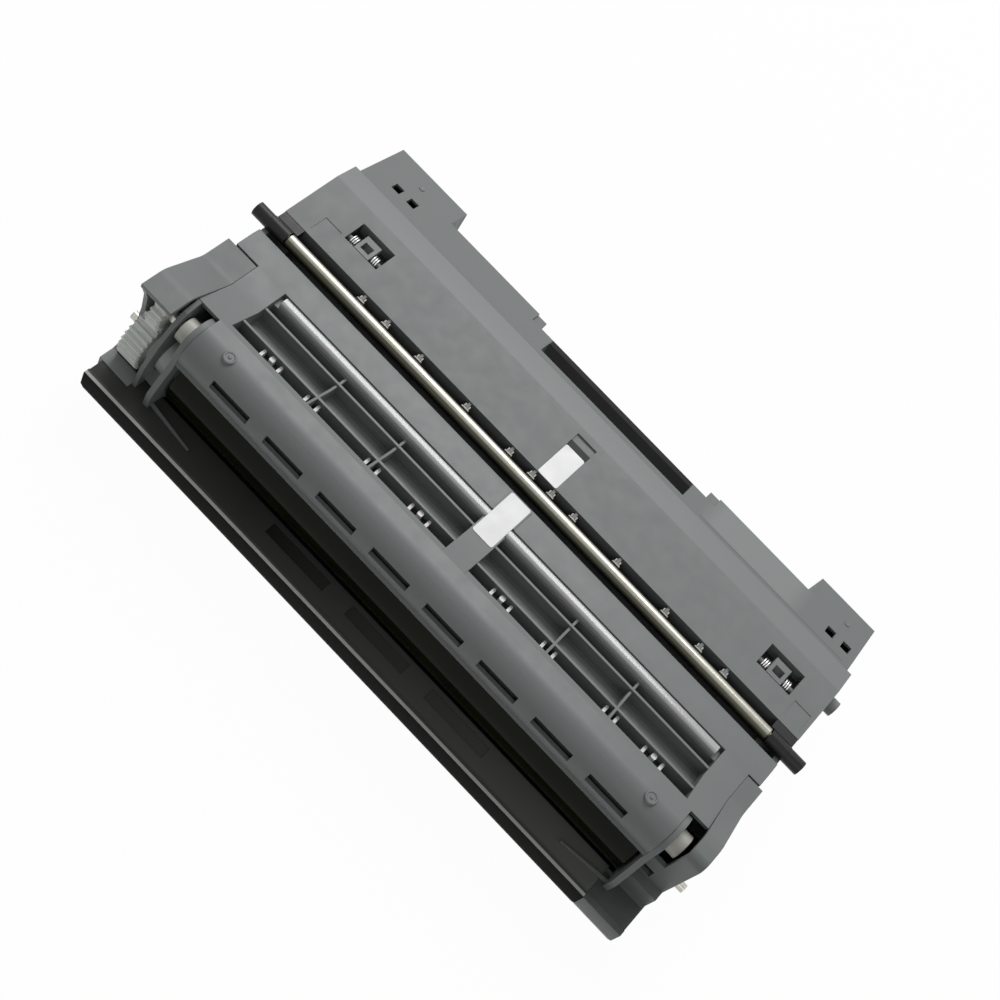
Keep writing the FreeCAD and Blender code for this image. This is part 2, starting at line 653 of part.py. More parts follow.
def bearing_walls(frame):
    """Cross walls, bearing walls of the drum and the curved fin beside the gears."""
    left = (-D.bearing_left - D.bearing_wall, -D.bearing_left)
    right = (D.bearing_right, D.bearing_right + D.bearing_wall)
    cross = rectangle(D.side_near, D.side_near + D.side_wall, D.base_z, D.wall_top)
    frame.add_x(-D.frame_half, left[1], cross)
    frame.add_x(right[0], D.frame_half, cross)
    foot = D.tray_far + D.part_gap * 2
    side = [
        (D.side_near + D.side_wall, D.wall_top),
        (D.side_near + D.side_wall, D.base_z),
        (foot, D.base_z),
        (foot, D.tray_z + D.part_gap),
        (-74.2, D.tray_z + D.part_gap),
        (-74.2, -21.0),
        (-70.8, -13.6),
        (-67.2, -6.6),
        (D.transfer_y - 9.8, D.transfer_z),
        (D.transfer_y, D.wall_top),
    ]
    root = D.lip_root / 2
    tip = D.lip_tip / 2
    frame.add_z(
        D.tray_z + D.part_gap, D.tray_z + D.tray_lip,
        [
            (left[1] - 1, D.lip_far - root), (-D.lip_left_end, D.lip_near - tip),
            (-D.lip_left_end, D.lip_near + tip), (left[1] - 1, D.lip_far + root),
        ],
        [
            (right[0] + 1, D.lip_far - root), (right[0] + 1, D.lip_far + root),
            (D.lip_right_end, D.lip_near + tip), (D.lip_right_end, D.lip_near - tip),
        ],
    )
    cap = D.cover_r - 0.7
    for low, high in (left, right):
        frame.add_x(low, high, side)
        frame.add_x(low, high, circles=((D.transfer_y, D.transfer_z, cap),))
    fin = [
        (D.side_near + D.side_wall, D.wall_top),
        (D.side_near + D.side_wall, D.base_z),
        (foot, D.base_z),
        (foot, D.tray_z + D.part_gap),
        (-72.0, D.tray_z + D.part_gap),
        (-70.6, -17.0),
        (-66.0, -5.0),
        (-61.4, 2.8),
        (-56.4, 7.4),
        (D.grid_near - D.part_gap * 3, D.grid_near_z),
        (D.grid_near - D.part_gap * 3, D.grid_near_z - D.chute_wall - D.part_gap * 2),
        (-42.6, 0.4),
        (-38.0, D.wall_top),
    ]
    fin_low = -D.fin_outer
    fin_high = -D.fin_outer + D.fin_wall
    frame.add_x(fin_low, fin_high, fin)
    seat = D.bush_r + D.seat_fit
    hub = D.hub_r + D.hub_clear
    frame.cut_x(left[0], left[1], circles=((D.transfer_y, D.transfer_z, seat), (DRUM_Y, DRUM_Z, hub)))
    shaft = D.drum_shaft_r + D.seat_fit
    frame.cut_x(right[0], right[1], circles=((D.transfer_y, D.transfer_z, seat), (DRUM_Y, DRUM_Z, shaft)))
    clear = D.transfer_shaft_r + D.hub_clear * 2
    frame.cut_x(fin_low, fin_high, circles=((D.transfer_y, D.transfer_z, clear), (DRUM_Y, DRUM_Z, hub)))


SLOT_RIBS = (5.0, 16.6, 39.2, 64.0, 81.5, 94.2)


def plate_details(frame):
    """Slot ribs, press pad wells, label recess, marks and square holes."""
    ribs = []
    bars = []
    for offset in SLOT_RIBS:
        for side in (-1, 1):
            middle = paper(side * offset)
            ribs.append(rectangle(
                middle - D.slot_rib / 2, middle + D.slot_rib / 2,
                D.slot_rib_near + D.slot_bar, D.slot_far + D.side_wall / 2,
            ))
            bars.append(rectangle(
                middle - D.slot_bar_half, middle + D.slot_bar_half,
                D.slot_rib_near, D.slot_rib_near + D.slot_bar,
            ))
    frame.add_z(D.slot_rib_foot, D.slot_rib_top, *ribs)
    frame.add_z(D.slot_rib_foot, D.slot_rib_top, *bars)
    seat = D.label_seat
    frame.cut_z(
        D.plate_top - D.recess_depth, D.plate_top,
        rectangle(paper(-D.label_half), paper(D.label_half), D.recess_near, D.recess_far),
    )
    frame.cut_z(
        D.plate_top - seat, D.plate_top,
        rectangle(paper(-D.label_half), paper(D.label_half), D.slot_far, D.recess_near),
    )
    frame.cut_z(
        D.plate_top - seat, D.plate_top,
        rectangle(-D.mark_left - D.mark_long, -D.mark_left, D.mark_near, D.mark_far),
        rectangle(D.mark_right, D.mark_right + D.mark_long, D.mark_near, D.mark_far),
    )
    pin = D.pad_pin_r + D.running_fit
    for side in (-1, 1):
        middle = paper(side * D.window_x)
        low, high = middle - D.window_half, middle + D.window_half
        wall = D.well_wall
        frame.add_z(
            D.well_floor - wall, D.plate_top - D.plate_wall / 2,
            rectangle(low - wall, high + wall, D.window_near - wall, D.window_far + wall),
        )
        frame.cut_z(
            D.well_floor, D.plate_top, rectangle(low, high, D.window_near, D.window_far),
        )
        frame.cut_z(
            D.well_floor - wall, D.well_floor,
            rectangle(
                middle - D.nose_slot_half, middle + D.nose_slot_half,
                D.window_near + D.pad_gap, D.window_far - D.pad_gap,
            ),
        )
        frame.cut_x(
            low - D.pad_pin_reach + D.window_half - D.pad_gap,
            high + D.pad_pin_reach - D.window_half + D.pad_gap,
            rectangle(
                D.pad_axis_y - pin, D.pad_axis_y + pin, D.pad_axis_z - pin, D.pad_axis_z + pin,
            ),
        )
    holes = []
    for side in (-1, 1):
        for offset in (D.square_inner, D.square_outer):
            middle = paper(side * offset)
            holes.append(rectangle(
                middle - D.square_half, middle + D.square_half,
                D.square_y - D.square_half, D.square_y + D.square_half,
            ))
    frame.cut_z(deck_height(D.block_far) - D.deck_wall, D.plate_top, *holes)


def make_chute():
    """Paper chute: band, seat of the strip, ribbed grid, centre bridge and end skins."""
    chute = Piece("paper_chute")
    chute.add_x(-D.frame_half, D.frame_half, [
        (D.slot_near, D.band_edge_z),
        (D.band_crease, D.plate_top),
        (D.band_near, D.plate_top),
        (D.band_near, D.rail_z),
        (D.slot_near, D.rail_z),
    ])
    low = paper(-D.grid_half)
    high = paper(D.grid_half)
    floor_low = D.floor_top - D.floor_wall
    outer = D.transfer_y + D.foam_r + D.foam_gap
    inner = outer + D.near_wall
    lip_low = D.grid_near_z - D.chute_wall
    chute.add_x(low, high, [
        (D.band_near + 1, D.strip_seat),
        (D.band_near + 1, D.strip_seat - D.chute_wall),
        (D.flank_y + D.near_wall, D.strip_seat - D.chute_wall),
        (D.flank_y + D.near_wall, floor_low),
        (outer, floor_low),
        (outer, lip_low),
        (D.grid_near, lip_low),
        (D.grid_near, D.grid_near_z),
        (inner, slope_height(inner)),
        (inner, D.floor_top),
        (D.flank_y, D.floor_top),
        (D.flank_y, D.strip_seat),
    ])
    skin = housing_line(0) + [
        (D.grid_near, lip_low),
        (D.slope_start, D.flat_z - D.chute_wall),
        (D.band_near, D.flat_z - D.chute_wall),
    ]
    chute.add_x(-D.end_left, low, skin)
    chute.add_x(high, D.end_right, skin)
    end_wall = housing_line(0) + [
        (D.grid_near, lip_low),
        (outer, lip_low),
        (outer, floor_low),
        (D.band_near, floor_low),
    ]
    chute.add_x(low - D.near_wall, low, end_wall)
    chute.add_x(high, high + D.near_wall, end_wall)
    rib_line = [
        (D.flank_y, D.strip_seat),
        (D.slope_start, D.flat_z - D.rib_drop),
        (inner, slope_height(inner) - D.rib_drop),
        (inner, D.floor_top),
        (D.flank_y, D.floor_top),
    ]
    for offset in (D.rib_inner_x, D.rib_outer_x):
        for side in (-1, 1):
            middle = paper(side * offset)
            chute.add_x(middle - D.grid_rib / 2, middle + D.grid_rib / 2, rib_line)
    chute.add_x(
        low, high,
        rectangle(D.rib_far_y, D.rib_far_y + D.grid_rib, D.floor_top, D.flat_z - D.rib_drop),
        rectangle(
            D.rib_near_y, D.rib_near_y + D.grid_rib, D.floor_top,
            slope_height(D.rib_near_y) - D.rib_drop,
        ),
    )
    rise = D.bridge_rise
    chute.add_x(paper(-D.bridge_half), paper(D.bridge_half), [
        (D.flank_y, D.flat_z + rise),
        (D.slope_start, D.flat_z + rise),
        (D.grid_near, D.grid_near_z + rise),
        (D.grid_near, lip_low),
        (outer, lip_low),
        (outer, D.floor_top),
        (D.flank_y, D.floor_top),
    ])
    chute.add_x(
        paper(-D.bridge_half), paper(D.bridge_half),
        rectangle(D.band_near, D.bridge_far, D.rail_z, D.flat_z + rise),
    )
    return chute


def make_strip():
    """Polished guide strip in its seat beside the band."""
    strip = Piece("guide_strip")
    top = D.strip_seat + D.strip_rise
    strip.add_x(
        paper(-D.strip_half), paper(D.strip_half),
        rectangle(D.strip_near, D.strip_far, D.strip_seat, top),
    )
    strip.round_x(D.strip_round, (D.strip_near, top), (D.strip_far, top))
    return strip


def make_runners():
    """White paper runners, clipped in beside the near long rib."""
    runners = Piece("paper_runners")
    far = D.rib_near_y - D.part_gap
    near = far - D.runner_deep
    prongs = []
    for side in (-1, 1):
        for offset, spread in (
            (D.runner_group, D.runner_spread),
            (D.runner_inner, D.runner_spread),
            (D.rib_inner_x, D.runner_rib_spread),
            (D.rib_outer_x, D.runner_rib_spread),
        ):
            for hand in (-1, 1):
                middle = paper(side * offset + hand * spread)
                prongs.append(rectangle(
                    middle - D.runner_wide / 2, middle + D.runner_wide / 2, near, far,
                ))
    runners.add_z(D.floor_top, D.runner_top, *prongs)
    bars = []
    for side in (-1, 1):
        for offset in (D.runner_group, D.runner_inner):
            middle = paper(side * offset)
            bars.append(rectangle(
                middle - D.runner_head / 2, middle + D.runner_head / 2,
                far - D.runner_head, far,
            ))
    runners.add_z(D.floor_top, D.runner_top + D.runner_wide / 2, *bars)
    return runners


def make_labels():
    """Two blank white labels: one across the centre bridge, one on the plate."""
    bridge = Piece("bridge_label")
    top = D.flat_z + D.bridge_rise
    bridge.add_z(
        top, top + D.label_thick,
        rectangle(
            paper(-D.label_half), paper(D.label_half),
            D.bridge_label_near, D.bridge_far - D.part_gap,
        ),
    )
    recess = Piece("plate_label")
    seat = D.plate_top - D.label_seat
    gap = D.part_gap
    recess.add_z(
        seat, seat + D.label_thick,
        rectangle(
            paper(-D.label_half) + gap, paper(D.label_half) - gap,
            D.slot_far + gap, D.recess_near - gap,
        ),
    )


def make_transfer_cover():
    """Rounded cover over the transfer roller, with a lower lip and a row of slots."""
    cover = Piece("transfer_cover")
    low = paper(-D.cover_half)
    high = paper(D.cover_half)
    centre = (D.transfer_y, D.transfer_z)
    inner_r = D.cover_r - D.cover_wall
    cover.add_x(low, high, circles=((centre[0], centre[1], D.cover_r),))
    crown = D.transfer_z + D.cover_r
    cover.add_x(low, high, [
        (D.transfer_y, crown),
        (D.cover_far, D.cover_far_z),
        (D.cover_far, D.cover_far_z - D.cover_wall),
        (D.transfer_y, crown - D.cover_wall),
    ])
    cover.cut_x(low, high, circles=((centre[0], centre[1], inner_r),))
    # The far and lower part of the tube is open: the roller meets the drum there.
    angle = math.radians(D.cover_lip_angle.value)
    reach = D.cover_r * 2
    lip_y = D.transfer_y - reach * math.cos(angle)
    lip_z = D.transfer_z - reach * math.sin(angle)
    cover.cut_x(low, high, [
        centre,
        (lip_y, lip_z),
        (lip_y, D.transfer_z - reach),
        (D.transfer_y + reach, D.transfer_z - reach),
        (D.transfer_y + reach, D.cover_far_z - D.cover_wall),
        (D.cover_far, D.cover_far_z - D.cover_wall),
        (D.transfer_y, crown - D.cover_wall),
    ])
    edge_in = D.cover_r - D.cover_wall / 2
    edge_out = D.cover_r + D.lip_reach
    cosine = math.cos(angle)
    sine = math.sin(angle)
    cover.add_x(low, high, [
        (D.transfer_y - edge_in * cosine, D.transfer_z - edge_in * sine),
        (D.transfer_y - edge_out * cosine, D.transfer_z - edge_out * sine),
        (
            D.transfer_y - edge_out * cosine - D.lip_thick * sine,
            D.transfer_z - edge_out * sine + D.lip_thick * cosine,
        ),
        (
            D.transfer_y - edge_in * cosine - D.lip_thick * sine,
            D.transfer_z - edge_in * sine + D.lip_thick * cosine,
        ),
    ])
    slots = []
    for number in range(4):
        for side in (-1, 1):
            middle = paper(side * D.cover_slot_pitch * (number + 0.5))
            slots.append(rectangle(
                middle - D.cover_slot_half, middle + D.cover_slot_half,
                D.cover_slot_low, D.cover_slot_high,
            ))
    cover.cut_y(D.transfer_y - D.cover_r - 1, D.transfer_y - D.cover_r / 2, *slots)
    rings = []
    for side in (-1, 1):
        rings.append((paper(side * D.ring_x), D.ring_y, D.ring_outer))
    cover.add_z(crown - D.cover_wall, crown + D.label_thick, circles=rings)
    return cover


def cylinder_x(name, low, high, y, z, radius):
    """Plain cylinder along X."""
    solid = DOC.addObject("Part::Cylinder", name)
    bind(solid, "Radius", radius)
    bind(solid, "Height", high - low)
    turn = FreeCAD.Rotation(FreeCAD.Vector(0, 1, 0), 90)
    solid.Placement = FreeCAD.Placement(FreeCAD.Vector(0, 0, 0), turn)
    bind(solid, "Placement.Base.x", low)
    bind(solid, "Placement.Base.y", y)
    bind(solid, "Placement.Base.z", z)
    return solid


def joined(kind, label, *solids):
    """Boolean of solids that becomes one piece of the unit."""
    if kind == "Cut":
        result = DOC.addObject("Part::Cut", label)
        result.Base = solids[0]
        result.Tool = solids[1]
    else:
        result = DOC.addObject("Part::MultiFuse", label)
        result.Shapes = list(solids)
    result.Label = label
    return result


def finished(thing):
    """Lift a boolean to its place and count it as a piece."""
    lift(thing)
    NODES.append(thing)
    return thing


def tooth_space(teeth, middle):
    """Outline of one tooth space, open past the tip, centred on the angle given in degrees."""
    module = D.gear_module.value
    pitch_r = module * teeth / 2
    root_r = pitch_r - 1.25 * module
    tip_r = pitch_r + module
    pressure = math.radians(20)
    base_r = pitch_r * math.cos(pressure)

    def half_angle(radius):
        slant = math.acos(min(1.0, base_r / max(radius, base_r)))
        roll = (math.tan(slant) - slant) - (math.tan(pressure) - pressure)
        return math.pi / (2 * teeth) + roll + D.backlash.value / (4 * pitch_r)

    corners = []
    for side, radii in ((-1, (root_r, pitch_r, tip_r + module / 4)), (1, (tip_r + module / 4, pitch_r, root_r))):
        for radius in radii:
            angle = math.radians(middle) + side * half_angle(radius)
            corners.append((radius * math.cos(angle), radius * math.sin(angle)))
    return corners


def make_gear(label, teeth, middle, low, high, y, z):
    """Spur gear blank with its tooth spaces cut in a ring."""
    gear = Piece(label)
    count = int(teeth.value)
    tip_r = D.gear_module * (teeth / 2 + 1)
    bind(gear.body, "Placement.Base.y", D.pinch_y + y)
    bind(gear.body, "Placement.Base.z", D.pinch_z + z)
    gear.add_x(low, high, circles=((0, 0, tip_r),))
    space = gear.cut_x(low, high, tooth_space(count, middle))
    DOC.recompute()
    ring = gear.body.newObject("PartDesign::PolarPattern", f"{label}_teeth")
    ring.Originals = [space]
    axes = [part for part in gear.body.Origin.OriginFeatures if part.Role == "X_Axis"]
    ring.Axis = (axes[0], [""])
    ring.Angle = 360
    bind(ring, "Occurrences", teeth)
    gear.body.Tip = ring
    DOC.recompute()
    return gear


def make_drum():
    """Photoconductor drum with its gear, right flange and fixed shaft."""
    low = -D.bearing_left + D.drum_end_gap
    high = D.bearing_right - D.drum_end_gap
    inner_r = D.drum_r - D.drum_wall
    outer = cylinder_x("drum_outer", low, high, DRUM_Y, DRUM_Z, D.drum_r)
    inner = cylinder_x("drum_inner", low, high, DRUM_Y, DRUM_Z, inner_r)
    finished(joined("Cut", "drum_tube", outer, inner))

    gear_low = -D.gear_inner - D.drum_gear_width
    up = 90.0 + 180.0 / D.drum_teeth.value
    gear = make_gear("drum_gear", D.drum_teeth, up, gear_low, -D.gear_inner, DRUM_Y, DRUM_Z)
    gear.add_x(-D.gear_inner, low, circles=((0, 0, D.hub_r),))
    gear.add_x(low, low + D.plug_long, circles=((0, 0, inner_r - D.seat_fit),))
    gear.cut_x(gear_low, low + D.plug_long, circles=((0, 0, BORE_R),))

    flange = Piece("drum_flange")
    plug = (DRUM_Y, DRUM_Z, inner_r - D.seat_fit)
    bore = (DRUM_Y, DRUM_Z, BORE_R)
    flange.add_x(high - D.plug_long, high, circles=(plug,))
    flange.cut_x(high - D.plug_long, high, circles=(bore,))

    shaft = Piece("drum_shaft")
    left = -D.left_outer - D.part_gap
    right = D.right_outer + D.earth_thick + D.part_gap * 2
    shaft.add_x(left, right, circles=((DRUM_Y, DRUM_Z, D.drum_shaft_r),))
    shaft.add_x(
        -D.drum_shaft_tip, D.drum_shaft_tip, circles=((DRUM_Y, DRUM_Z, D.shaft_end_r),),
    )


def make_transfer_roller():
    """Foam transfer roller with its shaft, gear and two white bushes."""
    y, z = D.transfer_y, D.transfer_z
    low = paper(-D.foam_half)
    high = paper(D.foam_half)
    outer = cylinder_x("foam_outer", low, high, y, z, D.foam_r)
    inner = cylinder_x("foam_inner", low, high, y, z, D.transfer_shaft_r)
    finished(joined("Cut", "transfer_foam", outer, inner))
    bush_left = -D.bearing_left - D.bearing_wall - D.bush_long
    bush_right = D.bearing_right + D.bearing_wall + D.bush_long
    gear_low = -D.gear_inner - D.transfer_gear_width
    shaft = Piece("transfer_shaft")
    shaft.add_x(
        gear_low - D.sleeve_gap, bush_right + D.sleeve_gap,
        circles=((y, z, D.transfer_shaft_r),),
    )
    gear = make_gear(
        "transfer_gear", D.transfer_teeth, -90.0, gear_low, -D.gear_inner, y, z,
    )
    gear.cut_x(gear_low, -D.gear_inner, circles=((0, 0, D.transfer_shaft_r),))
    bore = D.transfer_shaft_r + D.running_fit
    for name, start, end in (
        ("left", bush_left, -D.bearing_left),
        ("right", D.bearing_right, bush_right),
    ):
        bush = Piece(f"transfer_bush_{name}")
        bush.add_x(start, end, circles=((y, z, D.bush_r),))
        bush.cut_x(start, end, circles=((y, z, bore),))


def make_pinch_roller():
    """Metal pinch roller with its black sleeves and bearing blocks."""
    roller = Piece("pinch_roller")
    shoulder = D.pinch_half + D.sleeve_gap
    end = D.sleeve_tip - D.sleeve_cap - D.sleeve_gap
    roller.add_x(-D.pinch_half, D.pinch_half, circles=((0, 0, D.pinch_r),))
    roller.add_x(-end, end, circles=((0, 0, D.journal_r),))
    for name, side in (("left", -1), ("right", 1)):
        sleeve = Piece(f"pinch_sleeve_{name}")
        low, high = ordered(side * shoulder, side * D.sleeve_tip)
        sleeve.add_x(low, high, circles=((0, 0, D.sleeve_r),))
        low, high = ordered(side * shoulder, side * D.frame_half)
        sleeve.add_x(low, high, circles=((0, 0, D.sleeve_collar_r),))
        low, high = ordered(side * shoulder, side * (D.sleeve_tip - D.sleeve_cap))
        sleeve.cut_x(low, high, circles=((0, 0, D.journal_r + D.running_fit),))
        block = Piece(f"bearing_block_{name}")
        low, high = ordered(side * (D.pinch_half - 1), side * (D.frame_half - D.part_gap))
        block.add_x(
            low, high,
            rectangle(
                D.block_near, D.slot_far - D.part_gap, D.rail_z + D.part_gap, D.block_top,
            ),
        )


def make_press_pads():
    """Sprung rocking pads in the plate's windows, that press the toner cartridge."""
    low = D.pad_top - D.pad_thick
    for name, side in (("left", -1), ("right", 1)):
        middle = paper(side * D.window_x)
        pad = Piece(f"press_pad_{name}")
        pad.add_z(low, D.pad_top, rectangle(
            middle - D.pad_half, middle + D.pad_half, D.pad_near, D.pad_far,
        ))
        pad.add_z(D.nose_low, low, rectangle(
            middle - D.nose_half, middle + D.nose_half, D.nose_near, D.pad_far,
        ))
        cheek = rectangle(
            D.pad_near + D.pad_thick, D.pad_far, D.pad_axis_z - D.pad_pin_r, low,
        )
        pad.add_x(middle - D.pad_half, middle - D.pad_hole_half, cheek)
        pad.add_x(middle + D.pad_hole_half, middle + D.pad_half, cheek)
        pivot = (D.pad_axis_y, D.pad_axis_z, D.pad_pin_r)
        start = D.pad_hole_half
        end = D.pad_pin_reach
        pad.add_x(middle + start, middle + end, circles=(pivot,))
        pad.add_x(middle - end, middle - start, circles=(pivot,))
        pad.cut_z(low, D.pad_top, rectangle(
            middle - D.pad_hole_half, middle + D.pad_hole_half,
            D.pad_hole_near, D.pad_hole_far,
        ))
        inner = D.spring_start
        coils = Part.Compound([
            coil_shape(middle + inner, 1),
            coil_shape(middle - inner, -1),
        ])
        springs = DOC.addObject("Part::Feature", f"pad_springs_{name}")
        springs.Shape = coils
        finished(springs)


def coil_shape(start, hand):
    """Torsion spring around the hinge of a pad, wound away from start towards hand."""
    steps = int(round(SPRING_CORNERS * D.spring_turns.value))
    points = []
    for step in range(steps + 1):
        angle = 2 * math.pi * step / SPRING_CORNERS
        points.append(FreeCAD.Vector(
            start.value + hand * D.spring_long.value * step / steps,
            D.pad_axis_y.value + D.spring_r.value * math.cos(angle),
            D.pad_axis_z.value + D.spring_r.value * math.sin(angle),
        ))
    path = Part.makePolygon(points)
    side = D.spring_wire.value
    first = points[0]
    corners = [
        first + FreeCAD.Vector(a * side, b * side, 0)
        for a, b in ((-1, -1), (1, -1), (1, 1), (-1, 1), (-1, -1))
    ]
    section = Part.makePolygon(corners)
    return path.makePipeShell([section], True, False, 1)


def hump_line(drop):
    """Top line of an end cover, lowered by drop."""
    return [
        (D.hump_far, D.flat_z - drop),
        (D.slope_start, D.flat_z - drop),
        (D.hump_crest, D.hump_top - drop),
        (D.hump_near, D.hump_top - drop),
    ]


def make_left_cover():
    """Left end cover over the gears."""
    cover = Piece("left_end_cover")
    outer = -D.left_outer
    inner = -D.fin_outer - D.part_gap
    skin = D.cover_skin
    cover.add_x(outer, inner, [
        (D.hump_far, D.flat_z),
        (D.slope_start, D.flat_z),
        (D.hump_crest, D.hump_top),
        (D.hump_near, D.hump_top),
        (D.hump_near, D.hump_top - skin),
        (D.hump_crest + 1, D.hump_top - skin),
        (D.slope_start, D.flat_z - skin),
        (D.hump_far, D.flat_z - skin),
    ])
    cover.add_x(outer, outer + skin, hump_line(skin / 2) + [
        (-60.2, 2.4),
        (-58.8, -8.0),
        (-58.8, -17.0),
        (-61.6, -24.0),
        (D.foot_far, D.tray_z + 0.5),
        (D.foot_near, D.tray_z + 0.5),
        (D.foot_near, D.base_z),
        (D.hump_far, D.base_z),
    ])
    cover.add_x(outer, inner, [
        (D.foot_near, D.tray_z + 0.5),
        (D.foot_far, D.tray_z + 0.5),
        (D.foot_far, D.base_z + skin),
        (D.hump_far, D.base_z + skin),
        (D.hump_far, D.base_z),
        (D.foot_far - skin, D.base_z),
        (D.foot_far - skin, D.tray_z - skin),
        (D.foot_near + skin, D.tray_z - skin),
        (D.foot_near + skin, D.base_z),
        (D.foot_near, D.base_z),
    ])
    cover.cut_x(outer, outer + skin, circles=((DRUM_Y, DRUM_Z, D.drum_shaft_r + D.seat_fit),))
    cover.round_x(D.hump_round_low, (D.slope_start, D.flat_z))
    cover.round_x(D.hump_round_high, (D.hump_crest, D.hump_top))
    return cover


def make_right_cover():
    """Right end cover with the notch of the white bush and the rear corner block."""
    cover = Piece("right_end_cover")
    outer = D.right_outer
    inner = D.notch_inner
    skin = D.cover_skin
    cover.add_x(inner, outer, [
        (D.hump_far, D.flat_z),
        (D.slope_start, D.flat_z),
        (D.hump_crest, D.hump_top),
        (D.hump_near, D.hump_top),
        (D.hump_near, D.wall_low),
        (D.hump_near + skin, D.wall_low),
        (D.hump_near + skin, D.hump_top - skin),
        (D.hump_crest + 1, D.hump_top - skin),
        (D.slope_start, D.flat_z - skin),
        (D.hump_far, D.flat_z - skin),
    ])
    side = hump_line(skin / 2) + [
        (D.hump_near, D.wall_low),
        (D.foot_far, D.wall_low),
        (D.foot_far, D.tray_z),
        (D.foot_near, D.tray_z),
        (D.foot_near, D.base_z),
        (D.hump_far, D.base_z),
    ]
    cover.add_x(outer - skin, outer, side)
    bearing = D.bearing_right + D.bearing_wall + D.part_gap
    cover.add_x(bearing, outer, [
        (D.hump_near, D.transfer_z - D.bush_r - 1),
        (D.hump_near + skin, D.transfer_z - D.bush_r - 1),
        (D.hump_near + skin, D.wall_low - skin),
        (D.foot_far + skin, D.wall_low - skin),
        (D.foot_far + skin, D.base_z),
        (D.foot_far, D.base_z),
        (D.foot_far, D.wall_low),
        (D.hump_near, D.wall_low),
    ])
    block = D.box_right + D.part_gap
    rim = D.tray_z + D.rim_rise
    cover.add_x(block, outer, [
        (D.foot_far, D.tray_z),
        (D.foot_far, D.base_z),
        (D.rim_near + 8, D.base_z),
        (D.rim_near + 2.4, D.rim_low - 6),
        (D.rim_near, D.rim_low),
        (D.rim_near, rim),
        (D.rim_near + D.rim_wide, rim),
        (D.rim_near + D.rim_wide, D.tray_z),
    ])
    cover.add_x(bearing, outer, rectangle(D.foot_far, D.hump_far, D.base_z, D.base_z + skin))
    shaft = D.drum_shaft_r + D.seat_fit
    cover.cut_x(outer - skin, outer, circles=((DRUM_Y, DRUM_Z, shaft),))
    port = D.square_port
    cover.cut_y(
        D.hump_near, D.hump_near + skin,
        rectangle(bearing + 1, bearing + 1 + port * 2, D.wall_low + 1, D.wall_low + 1 + port * 2),
    )
    cover.round_x(D.hump_round_low, (D.slope_start, D.flat_z))
    cover.round_x(D.hump_round_high, (D.hump_crest, D.hump_top))
    cover.round_x(D.hump_round_near, (D.hump_near, D.hump_top))
    return cover


CURL = ((0, 0), (2.3, 6.0), (7.6, 11.6), (13.8, 14.5))
RIB_BAYS = 5
SPRING_CORNERS = 8


def make_charger_cover():
    """Rear cover: tray, rim, curled near wall and the channel of the charger."""
    cover = Piece("charger_cover")
    rim = D.tray_z + D.rim_rise
    wall = D.box_wall
    curl = [(D.rim_near + dy, D.rim_low - dz) for dy, dz in CURL]
    inner_curl = [(D.rim_near + wall + dy * 0.9, D.rim_low - dz * 0.86) for dy, dz in CURL]
    foot = D.foot_near - D.part_gap
    foot_end = -D.fin_outer

    def box(far, curled, low):
        return [
            (far, D.tray_z),
            (D.rim_near + D.rim_wide, D.tray_z),
            (D.rim_near + D.rim_wide, rim),
            (D.rim_near, rim),
        ] + curl[:curled] + [
            (far, low),
        ]

    def hollow(far, curled):
        return [
            (far - wall, D.tray_z - wall),
            (D.rim_near + wall, D.tray_z - wall),
        ] + inner_curl[:curled] + [
            (inner_curl[curled - 1][0], D.base_z),
            (far - wall, D.base_z),
        ]

    cover.add_x(-D.box_left, foot_end, box(foot, 3, curl[2][1]))
    cover.add_x(foot_end, D.box_right, box(D.tray_far, 4, D.base_z))
    low = -D.bearing_left + D.part_gap
    high = D.bearing_right - D.part_gap
    cover.add_x(low, D.box_right, [
        (D.charger_far, D.charger_far_z),
        (D.tray_far, D.tray_z),
        (D.tray_far, D.base_z),
        (D.charger_far, D.base_z),
    ])
    cover.add_x(D.box_right, high, [
        (D.charger_far, D.charger_far_z),
        (D.foot_far + D.cover_skin + D.part_gap, D.tray_z),
        (D.foot_far + D.cover_skin + D.part_gap, D.base_z),
        (D.charger_far, D.base_z),
    ])
    cover.cut_x(-D.box_left, high, circles=((DRUM_Y, DRUM_Z, D.drum_r + D.drum_clear),))
    channel = D.channel_half
    cover.cut_x(
        low, high,
        rectangle(DRUM_Y - channel, DRUM_Y + channel, D.channel_floor, DRUM_Z - D.drum_r),
    )
    cover.cut_x(-D.box_left + wall, foot_end - wall / 2, hollow(foot, 2))
    bay = (D.box_right - foot_end) / RIB_BAYS
    for number in range(RIB_BAYS):
        start = foot_end + bay * number + wall / 2
        cover.cut_x(start, start + bay - wall, hollow(D.tray_far, 3))
    slot = D.cleaner_slot_half
    start = D.cleaner_x - D.cleaner_half - 1
    end = D.cleaner_x + D.cleaner_travel + D.cleaner_half + 1
    cover.cut_z(
        D.base_z, D.channel_floor, rectangle(start, end, DRUM_Y - slot, DRUM_Y + slot),
    )
    tab = D.tab_half + D.pad_gap
    cover.cut_z(
        D.base_z, D.base_z + D.tab_groove, rectangle(start, end, DRUM_Y - tab, DRUM_Y + tab),
    )
    recesses = []
    for offset in (-1, 0, 1):
        middle = paper(offset * D.recess_pitch)
        recesses.append(rectangle(
            middle - D.recess_half, middle + D.recess_half,
            D.foot_near, D.foot_near + D.recess_wide,
        ))
    cover.cut_z(D.tray_z - D.recess_sink, D.tray_z, *recesses)
    screws = [(paper(side * D.screw_x), D.screw_y) for side in (-1, 1)]
    cover.cut_z(
        D.base_z, D.base_z + D.screw_sink,
        circles=[(x, y, D.screw_head_r + D.pad_gap) for x, y in screws],
    )
    return cover


